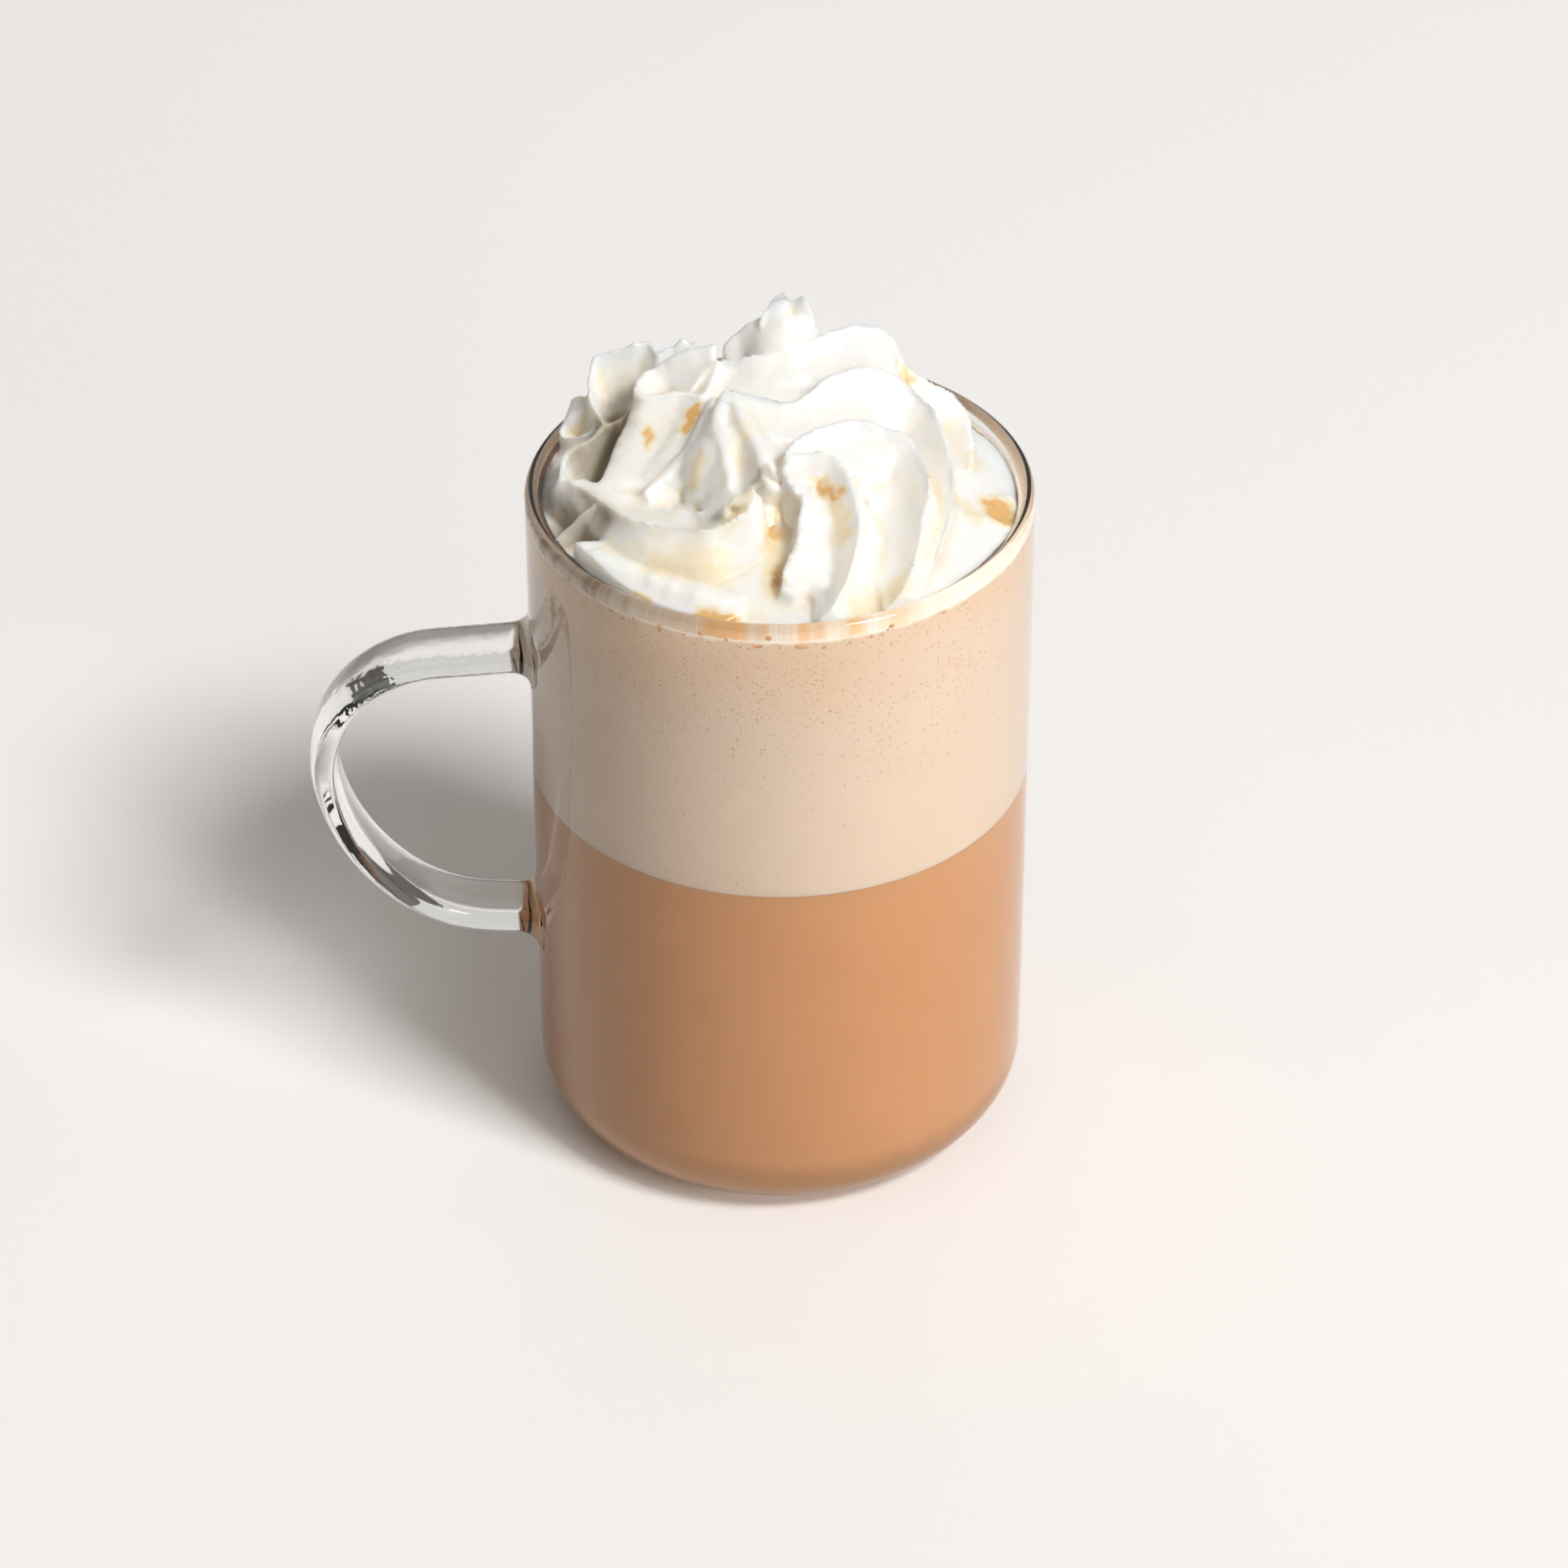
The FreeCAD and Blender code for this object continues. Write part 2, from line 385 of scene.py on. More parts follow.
def mottleGroup():
    # soft uneven colour, as in anything milky
    group = bpy.data.node_groups.new("milkyMottle", "ShaderNodeTree")
    start, end = groupSockets(
        group,
        [("Vector", "NodeSocketVector", None), ("Colour", "NodeSocketColor", (1, 1, 1, 1)),
         ("Warm", "NodeSocketColor", (1, 0.9, 0.8, 1)), ("Size", "NodeSocketFloat", 120.0),
         ("Amount", "NodeSocketFloat", 0.3)],
        [("Colour", "NodeSocketColor"), ("Mask", "NodeSocketFloat")],
    )
    broad = addNode(
        group, "ShaderNodeTexNoise",
        Detail=milkPattern["mottleDetail"], Roughness=milkPattern["mottleRoughness"],
    )
    group.links.new(start.outputs["Vector"], broad.inputs["Vector"])
    group.links.new(start.outputs["Size"], broad.inputs["Scale"])
    mask = mapRange(group, broad.outputs["Fac"], *milkPattern["mottleFade"])
    strength = calc(group, "MULTIPLY", mask, start.outputs["Amount"])
    colour = mixColour(group, strength, start.outputs["Colour"], start.outputs["Warm"])
    group.links.new(colour, end.inputs["Colour"])
    group.links.new(mask, end.inputs["Mask"])
    return group


def pinholeGroup():
    # scattered pits of burst bubbles: a mask of dots, each cell with or without one
    group = bpy.data.node_groups.new("burstBubbles", "ShaderNodeTree")
    start, end = groupSockets(
        group,
        [("Vector", "NodeSocketVector", None), ("Size", "NodeSocketFloat", 900.0),
         ("Dot", "NodeSocketFloat", 0.2), ("Share", "NodeSocketFloat", 0.3)],
        [("Mask", "NodeSocketFloat")],
    )
    cells = addNode(group, "ShaderNodeTexVoronoi", Randomness=1.0)
    group.links.new(start.outputs["Vector"], cells.inputs["Vector"])
    group.links.new(start.outputs["Size"], cells.inputs["Scale"])
    pick = group.nodes.new("ShaderNodeSeparateColor")
    group.links.new(cells.outputs["Color"], pick.inputs["Color"])
    chosen = calc(group, "LESS_THAN", pick.outputs["Red"], start.outputs["Share"])
    uneven = calc(group, "ADD", pick.outputs["Green"], milkPattern["leastPit"])
    size = calc(group, "MULTIPLY", uneven, start.outputs["Dot"])
    inside = calc(group, "SUBTRACT", 1.0, calc(group, "DIVIDE", cells.outputs["Distance"], size))
    dot = mapRange(group, inside, 0.0, milkPattern["pitEdge"])
    group.links.new(calc(group, "MULTIPLY", dot, chosen), end.inputs["Mask"])
    return group


def addGroup(tree, group, place, **values):
    node = tree.nodes.new("ShaderNodeGroup")
    node.node_tree = group
    tree.links.new(place, node.inputs["Vector"])
    for name, value in values.items():
        node.inputs[name].default_value = value
    return node


# clear glass
# in all the looks, what ends in X, Y, Z or Fade is a ramp: from, to, and the values at each, or 0 and 1
# blots, patches, streaks and roughness are ramps too, where they hold more than one number
# mottle is its size and amount, sink the weight, colour reach and depth, bump the strength and depth
# wave, grain and what ends in Size are in cells to a metre, and may go on with detail and roughness

glassLook = {
    "ior": 1.474, "roughness": 0.0, "tint": (0.985, 0.992, 0.99, 1),
    # light let through into the shadow: face on, at the edges and by the foot
    "shadeFlat": (0.96, 0.965, 0.96, 1), "shadeEdge": (0.22, 0.20, 0.19, 1), "edgeBlend": 0.35,
    "shadeFoot": (0.12, 0.10, 0.09, 1), "footZ": (8 * mm, 1 * mm),
    # ripples in the bent handle, strongest in its upper half
    "ripple": 0.45, "rippleSize": 260.0, "rippleDepth": 0.5 * mm,
    "handleX": (-bodyRadius - 1 * mm, -bodyRadius - 5 * mm), "upperZ": (66 * mm, 78 * mm, 0.12, 1.0),
}


def glassMaterial():
    look = glassLook
    material, tree, shader = newMaterial("clearGlass")
    shader.inputs["Base Color"].default_value = look["tint"]
    shader.inputs["Roughness"].default_value = look["roughness"]
    shader.inputs["IOR"].default_value = look["ior"]
    shader.inputs["Transmission Weight"].default_value = 1.0
    place, parts = objectPlace(tree)
    handle = mapRange(tree, parts["X"], *look["handleX"])
    upper = mapRange(tree, parts["Z"], *look["upperZ"])
    strength = calc(tree, "MULTIPLY", handle, upper)
    ripple = noiseAt(tree, place, look["rippleSize"])
    addBump(tree, shader, calc(tree, "MULTIPLY", ripple, strength), look["ripple"], look["rippleDepth"])
    facing = addNode(tree, "ShaderNodeLayerWeight", Blend=look["edgeBlend"])
    shade = mixColour(tree, facing.outputs["Facing"], look["shadeFlat"], look["shadeEdge"])
    foot = mapRange(tree, parts["Z"], *look["footZ"])
    shade = mixColour(tree, foot, shade, look["shadeFoot"])
    clear = tree.nodes.new("ShaderNodeBsdfTransparent")
    tree.links.new(shade, clear.inputs["Color"])
    path = tree.nodes.new("ShaderNodeLightPath")
    mix = tree.nodes.new("ShaderNodeMixShader")
    tree.links.new(path.outputs["Is Shadow Ray"], mix.inputs[0])
    tree.links.new(shader.outputs["BSDF"], mix.inputs[1])
    tree.links.new(clear.outputs["BSDF"], mix.inputs[2])
    tree.links.new(mix.outputs[0], tree.nodes["Material Output"].inputs["Surface"])
    return material


# the drink: latte under milk foam

drinkShape = {
    "sides": 160, "footSteps": 14,
    "foamRings": (0.25, 0.5, 0.75, 1.0),  # shares of the foam's height
    "seam": 0.01 * mm,  # the latte stops this far under the foam
    "smooth": 40,
}
latteLook = {
    "colour": (0.62, 0.325, 0.148, 1), "warm": (0.57, 0.285, 0.12, 1), "mottle": (60.0, 0.35),
    # painted light: the drink is made lighter at its foot, where the floor lights it through the glass
    "foot": (0.68, 0.375, 0.16, 1), "footZ": (3.5 * mm, 9 * mm, 1.0, 0.0),
    "roughness": 0.5, "specular": 0.05, "sink": (0.5, (1.0, 0.5, 0.25), 5 * mm),
    "grain": (700.0, 3.0), "bump": (0.15, 0.1 * mm),
}
foamLook = {
    "colour": (0.745, 0.605, 0.48, 1), "warm": (0.715, 0.56, 0.43, 1), "mottle": (90.0, 0.35),
    "top": (0.76, 0.555, 0.38, 1), "topZ": (froth - 17.6 * mm, froth - 0.6 * mm, 0.0, 0.8),
    "wave": (70.0, 4.0), "sway": 30 * mm,  # the top's colour wanders up and down by this
    "pit": (0.42, 0.22, 0.11, 1),
    "fine": {"Size": 1650.0, "Dot": 0.34}, "fineDepth": 0.45,
    "fineZ": (froth - 33.6 * mm, froth - 5.6 * mm, 0.03, 0.95), "patches": (0.35, 0.62, 0.45, 1.0),
    "coarse": {"Size": 520.0, "Dot": 0.13}, "coarseDepth": 0.6,
    "coarseZ": (froth - 18.6 * mm, froth - 0.6 * mm, 0.03, 0.25),
    "froth": (0.95, 0.88, 0.80, 1), "frothZ": (froth + 0.3 * mm, froth + 0.7 * mm, 0.0, 0.5),
    "rippleSize": 380.0, "rippleRise": 1.6 * mm,
    "roughness": (0.0, 1.0, 0.55, 0.8), "specular": 0.05, "sink": (0.35, (1.0, 0.7, 0.45), 3 * mm),
    "bump": (0.4, 0.1 * mm),
}


def addMottle(tree, groups, place, look):
    size, amount = look["mottle"]
    return addGroup(
        tree, groups["mottle"], place, Colour=look["colour"], Warm=look["warm"], Size=size, Amount=amount
    )


def latteMaterial(groups):
    look = latteLook
    material, tree, shader = newMaterial("latteDrink")
    place, parts = objectPlace(tree)
    mottle = addMottle(tree, groups, place, look)
    # painted light: lighter towards the foot, where the floor lights the drink through the glass
    foot = mapRange(tree, parts["Z"], *look["footZ"])
    colour = mixColour(tree, foot, mottle.outputs["Colour"], look["foot"])
    tree.links.new(colour, shader.inputs["Base Color"])
    shader.inputs["Roughness"].default_value = look["roughness"]
    shader.inputs["Specular IOR Level"].default_value = look["specular"]
    sinkLight(shader, *look["sink"])
    addBump(tree, shader, noiseAt(tree, place, *look["grain"]), *look["bump"])
    return material


def foamMaterial(groups):
    look = foamLook
    material, tree, shader = newMaterial("milkFoam")
    place, parts = objectPlace(tree)
    height = parts["Z"]
    mottle = addMottle(tree, groups, place, look)
    wave = noiseAt(tree, place, *look["wave"])
    sway = calc(tree, "MULTIPLY", calc(tree, "SUBTRACT", wave, 0.5), look["sway"])
    top = mapRange(tree, calc(tree, "ADD", height, sway), *look["topZ"])
    colour = mixColour(tree, top, mottle.outputs["Colour"], look["top"])
    # the pits are densest close under the rim
    share = mapRange(tree, height, *look["fineZ"])
    share = calc(tree, "MULTIPLY", share, mapRange(tree, wave, *look["patches"]))
    fine = addGroup(tree, groups["pinhole"], place, **look["fine"])
    tree.links.new(share, fine.inputs["Share"])
    coarse = addGroup(tree, groups["pinhole"], place, **look["coarse"])
    tree.links.new(mapRange(tree, height, *look["coarseZ"]), coarse.inputs["Share"])
    finePits = calc(tree, "MULTIPLY", fine.outputs["Mask"], look["fineDepth"])
    coarsePits = calc(tree, "MULTIPLY", coarse.outputs["Mask"], look["coarseDepth"])
    pits = calc(tree, "MAXIMUM", finePits, coarsePits)
    colour = mixColour(tree, pits, colour, look["pit"])
    # a pale uneven line where the foam meets the film
    ripple = calc(tree, "MULTIPLY", noiseAt(tree, place, look["rippleSize"]), look["rippleRise"])
    line = mapRange(tree, calc(tree, "ADD", height, ripple), *look["frothZ"])
    colour = mixColour(tree, line, colour, look["froth"])
    tree.links.new(colour, shader.inputs["Base Color"])
    tree.links.new(mapRange(tree, pits, *look["roughness"]), shader.inputs["Roughness"])
    shader.inputs["Specular IOR Level"].default_value = look["specular"]
    sinkLight(shader, *look["sink"])
    addBump(tree, shader, calc(tree, "SUBTRACT", 1.0, pits), *look["bump"])
    return material


def buildLatte(material):
    inner = mugShape["footRound"] - wall + intoGlass
    reach = innerRadius + intoGlass
    top = foamZ - drinkShape["seam"]
    rings = [(hub, floorZ - intoGlass)]
    rings += arcRings(reach - inner, floorZ - intoGlass + inner, inner, -90, 0, drinkShape["footSteps"])
    rings += [(reach, top), (hub, top)]
    latte = turnedPiece("latteFill", rings, drinkShape["sides"])
    smoothShade(latte, drinkShape["smooth"])
    finishPiece(latte, material, "latte", "latte")


def buildFoam(material):
    reach = innerRadius + intoGlass
    rings = [(hub, foamZ), (reach, foamZ)]
    rings += [(reach, foamZ + (froth - foamZ) * share) for share in drinkShape["foamRings"]]
    rings += [(hub, froth)]
    foam = turnedPiece("foamFill", rings, drinkShape["sides"])
    smoothShade(foam, drinkShape["smooth"])
    finishPiece(foam, material, "milk_foam", "milk_foam")


# the film that the drink left on the glass under the lip, and the bubbles in it

filmShape = {
    "thick": 0.5 * mm, "low": 0.4 * mm, "top": 0.55 * mm,  # low is under the foam, top under the lip
    "steps": 360, "rows": 6,
    "ragged": 0.5 * mm, "sagSizes": (5.0, 1.6),  # the sizes are in mm
    "bareTurn": 35, "bareFade": (0.2, 0.9), "bareShare": 0.4,  # little of it is left on the far right
    "smooth": 50,
}
filmLook = {
    "colour": (0.86, 0.75, 0.62, 1), "warm": (0.74, 0.54, 0.37, 1), "mottle": (330.0, 0.9),
    "stretch": (1, 1, 0.25),  # the pattern runs down the glass
    # white smears on the far side from the handle
    "white": (0.90, 0.84, 0.76, 1), "whiteX": (0.0, 18 * mm, 0.0, 0.6),
    # amber syrup at the front
    "amber": (0.80, 0.42, 0.12, 1), "amberSize": 120.0, "blots": (0.49, 0.62, 0.0, 0.8),
    "frontY": (-30 * mm, -37 * mm),
    # painted shade: dark streaks on the film by the handle, for the dark that the glass shows there when seen
    # edge-on
    "side": (0.30, 0.19, 0.13, 1), "sideX": (-20 * mm, -33 * mm, 0.0, 0.8), "streaks": (0.2, 0.8, 0.35, 1.0),
    "froth": (0.90, 0.82, 0.72, 1), "frothZ": (froth + 1.1 * mm, froth + 0.6 * mm, 0.0, 0.5),
    "rippleSize": 420.0, "rippleRise": 1.2 * mm,
    # painted shade: a dark band close under the lip on both sides, for the dark that the thick glass shows
    # where it is seen edge-on
    "ring": (0.085, 0.045, 0.03, 1), "ringX": (22 * mm, 32 * mm),
    "ringZ": (lipZ - 1.9 * mm, lipZ - 1.2 * mm, 0.0, 0.95),
    "roughness": 0.4, "sink": (0.2, (1.0, 0.2, 0.1), 1 * mm), "bump": (0.5, 0.15 * mm),
}


def buildFilm(material):
    shape = filmShape
    clearSelection()
    bpy.context.scene.tool_settings.mesh_select_mode = (True, False, False)
    outer = innerRadius + 0.5 * intoGlass
    inner = innerRadius - shape["thick"]
    low = froth - shape["low"]
    high = lipZ - shape["top"]
    bpy.ops.mesh.primitive_circle_add(vertices=shape["steps"], radius=outer, location=(0, 0, low))
    film = bpy.context.object
    film.name = "wallFilm"
    bpy.ops.object.transform_apply(location=True)
    bpy.ops.object.mode_set(mode="EDIT")
    bpy.ops.mesh.select_all(action="SELECT")
    rise = (high - low) / shape["rows"]
    for _ in range(shape["rows"]):
        bpy.ops.mesh.extrude_edges_move(TRANSFORM_OT_translate={"value": (0, 0, rise)})
    bpy.ops.mesh.extrude_edges_move(TRANSFORM_OT_translate={"value": (0, 0, 0)})
    bpy.ops.transform.resize(value=(inner / outer, inner / outer, 1), center_override=(0, 0, high))
    for _ in range(shape["rows"]):
        bpy.ops.mesh.extrude_edges_move(TRANSFORM_OT_translate={"value": (0, 0, -rise)})
    bpy.ops.mesh.select_all(action="DESELECT")
    bpy.ops.mesh.select_non_manifold(extend=False)
    bpy.ops.mesh.bridge_edge_loops()
    bpy.ops.mesh.select_all(action="SELECT")
    bpy.ops.mesh.normals_make_consistent(inside=False)
    bpy.ops.object.mode_set(mode="OBJECT")
    for vertex in film.data.vertices:
        share = (vertex.co.z - low) / (high - low)
        spot = Vector((vertex.co.x, vertex.co.y, 0)) / mm
        broad, fine = (noise.noise(spot / size) for size in shape["sagSizes"])
        drop = shape["ragged"] * max(0.0, 0.5 + 0.5 * broad + 0.3 * fine)
        bare = math.cos(math.atan2(vertex.co.y, vertex.co.x) - math.radians(shape["bareTurn"]))
        drop += (high - low) * shape["bareShare"] * float(smoothStep(*shape["bareFade"], bare))
        vertex.co.z -= share * drop
    smoothShade(film, shape["smooth"])
    finishPiece(film, material, "milk_foam")


def filmMaterial(groups):
    look = filmLook
    material, tree, shader = newMaterial("wallFilm")
    place, parts = objectPlace(tree)
    stretch = addNode(tree, "ShaderNodeMapping", Scale=look["stretch"])
    tree.links.new(place, stretch.inputs["Vector"])
    mottle = addMottle(tree, groups, stretch.outputs["Vector"], look)
    white = mapRange(tree, parts["X"], *look["whiteX"])
    colour = mixColour(tree, white, mottle.outputs["Colour"], look["white"])
    blots = mapRange(tree, noiseAt(tree, stretch.outputs["Vector"], look["amberSize"]), *look["blots"])
    amber = calc(tree, "MULTIPLY", blots, mapRange(tree, parts["Y"], *look["frontY"]))
    colour = mixColour(tree, amber, colour, look["amber"])
    # painted shade: dark streaks by the handle, for the dark of the glass seen edge-on
    streaks = mapRange(tree, mottle.outputs["Mask"], *look["streaks"])
    side = calc(tree, "MULTIPLY", mapRange(tree, parts["X"], *look["sideX"]), streaks)
    colour = mixColour(tree, side, colour, look["side"])
    ripple = calc(tree, "MULTIPLY", noiseAt(tree, place, look["rippleSize"]), look["rippleRise"])
    line = mapRange(tree, calc(tree, "ADD", parts["Z"], ripple), *look["frothZ"])
    colour = mixColour(tree, line, colour, look["froth"])
    # painted shade: a dark band under the lip on both sides, for the glass seen edge-on
    sides = mapRange(tree, calc(tree, "ABSOLUTE", parts["X"]), *look["ringX"])
    ring = calc(tree, "MULTIPLY", mapRange(tree, parts["Z"], *look["ringZ"]), sides)
    colour = mixColour(tree, ring, colour, look["ring"])
    tree.links.new(colour, shader.inputs["Base Color"])
    shader.inputs["Roughness"].default_value = look["roughness"]
    sinkLight(shader, *look["sink"])
    addBump(tree, shader, mottle.outputs["Mask"], *look["bump"])
    return material


bubbleShape = {
    "sides": 20, "rings": 12, "radius": 0.5 * mm,
    "cut": 0.2 * mm,  # the drop is cut flat this far from its middle, on the side towards the film
    "rim": 0.06 * mm, "raised": 0.03 * mm,  # the flat inside its rim stands up by this
    "thin": 0.2,  # share of its depth that is kept
    "sunk": 0.1 * mm,  # its middle lies this far inside the wall of the glass
}
bubbleLook = {
    "light": (0.72, 0.40, 0.20, 1), "dark": (0.42, 0.19, 0.09, 1),
    "toneSize": 260.0, "toneFade": (0.35, 0.65), "roughness": 0.25,
}
bubbleSpots = {
    # turn from the front in degrees, depth under the lip in mm, width, height
    "row": [(-43, 3.9, 1.1, 0.5), (-40, 4.3, 0.5, 0.4), (-37, 3.6, 0.5, 0.4), (-30, 3.6, 1.0, 1.0),
            (-27, 4.4, 0.4, 0.35), (-24, 3.7, 0.5, 0.4), (-20, 2.9, 0.8, 1.0), (-18, 4.2, 0.45, 0.4),
            (-14, 3.3, 0.7, 0.9), (-11, 4.5, 0.35, 0.3), (-9, 4.7, 0.5, 0.4), (-2, 4.3, 0.4, 0.3),
            (8, 4.6, 0.9, 0.6), (14, 4.4, 0.5, 0.35), (19, 4.0, 0.5, 0.35), (23, 3.4, 0.4, 0.3),
            (30, 4.2, 0.35, 0.3), (38, 3.8, 0.8, 0.6), (44, 4.1, 0.4, 0.3)],
    "big": [(-7, 4.1, 1.6, 0.7), (3, 4.2, 2.2, 0.9), (-4.5, 2.6, 0.9, 0.9), (24, 2.9, 0.9, 0.8)],
    "speck": [(9.5, 16.5, 0.55, 0.5)],
}


def bubbleMaterial():
    look = bubbleLook
    material, tree, shader = newMaterial("bubbleSkin")
    place = objectPlace(tree)[0]
    amount = mapRange(tree, noiseAt(tree, place, look["toneSize"]), *look["toneFade"])
    tree.links.new(mixColour(tree, amount, look["light"], look["dark"]), shader.inputs["Base Color"])
    shader.inputs["Roughness"].default_value = look["roughness"]
    return material


def buildBubbles(material):
    # one flat drop, copied to each place on the inside of the glass
    shape = bubbleShape
    clearSelection()
    bpy.ops.mesh.primitive_uv_sphere_add(
        segments=shape["sides"], ring_count=shape["rings"], radius=shape["radius"], location=(0, 0, 0)
    )
    drop = bpy.context.object
    bpy.ops.object.mode_set(mode="EDIT")
    bpy.ops.mesh.select_all(action="SELECT")
    bpy.ops.mesh.bisect(
        plane_co=(0, shape["cut"], 0), plane_no=(0, 1, 0), clear_outer=True, use_fill=True, threshold=fineWeld
    )
    bpy.ops.mesh.inset(thickness=shape["rim"], depth=shape["raised"])
    bpy.ops.mesh.select_all(action="SELECT")
    bpy.ops.mesh.remove_doubles(threshold=fineWeld)
    bpy.ops.mesh.normals_make_consistent(inside=False)
    bpy.ops.object.mode_set(mode="OBJECT")
    copies = []
    for turn, depth, width, height in bubbleSpots["row"] + bubbleSpots["big"] + bubbleSpots["speck"]:
        copy = drop.copy()
        copy.data = drop.data.copy()
        bpy.context.scene.collection.objects.link(copy)
        angle = math.radians(turn - 90)
        spot = Vector((math.cos(angle), math.sin(angle), 0)) * (innerRadius + shape["sunk"])
        spot.z = lipZ - depth * mm
        move = Matrix.Translation(spot) @ Matrix.Rotation(math.radians(turn), 4, "Z")
        copy.data.transform(move @ Matrix.Diagonal((width, shape["thin"], height, 1)))
        copies.append(copy)
    bpy.data.objects.remove(drop)
    clearSelection()
    for copy in copies:
        copy.select_set(True)
    bubbles = copies[0]
    bpy.context.view_layer.objects.active = bubbles
    bpy.ops.object.join()
    bubbles.name = "filmBubbles"
    bpy.ops.object.shade_smooth()
    finishPiece(bubbles, material, "milk_foam")


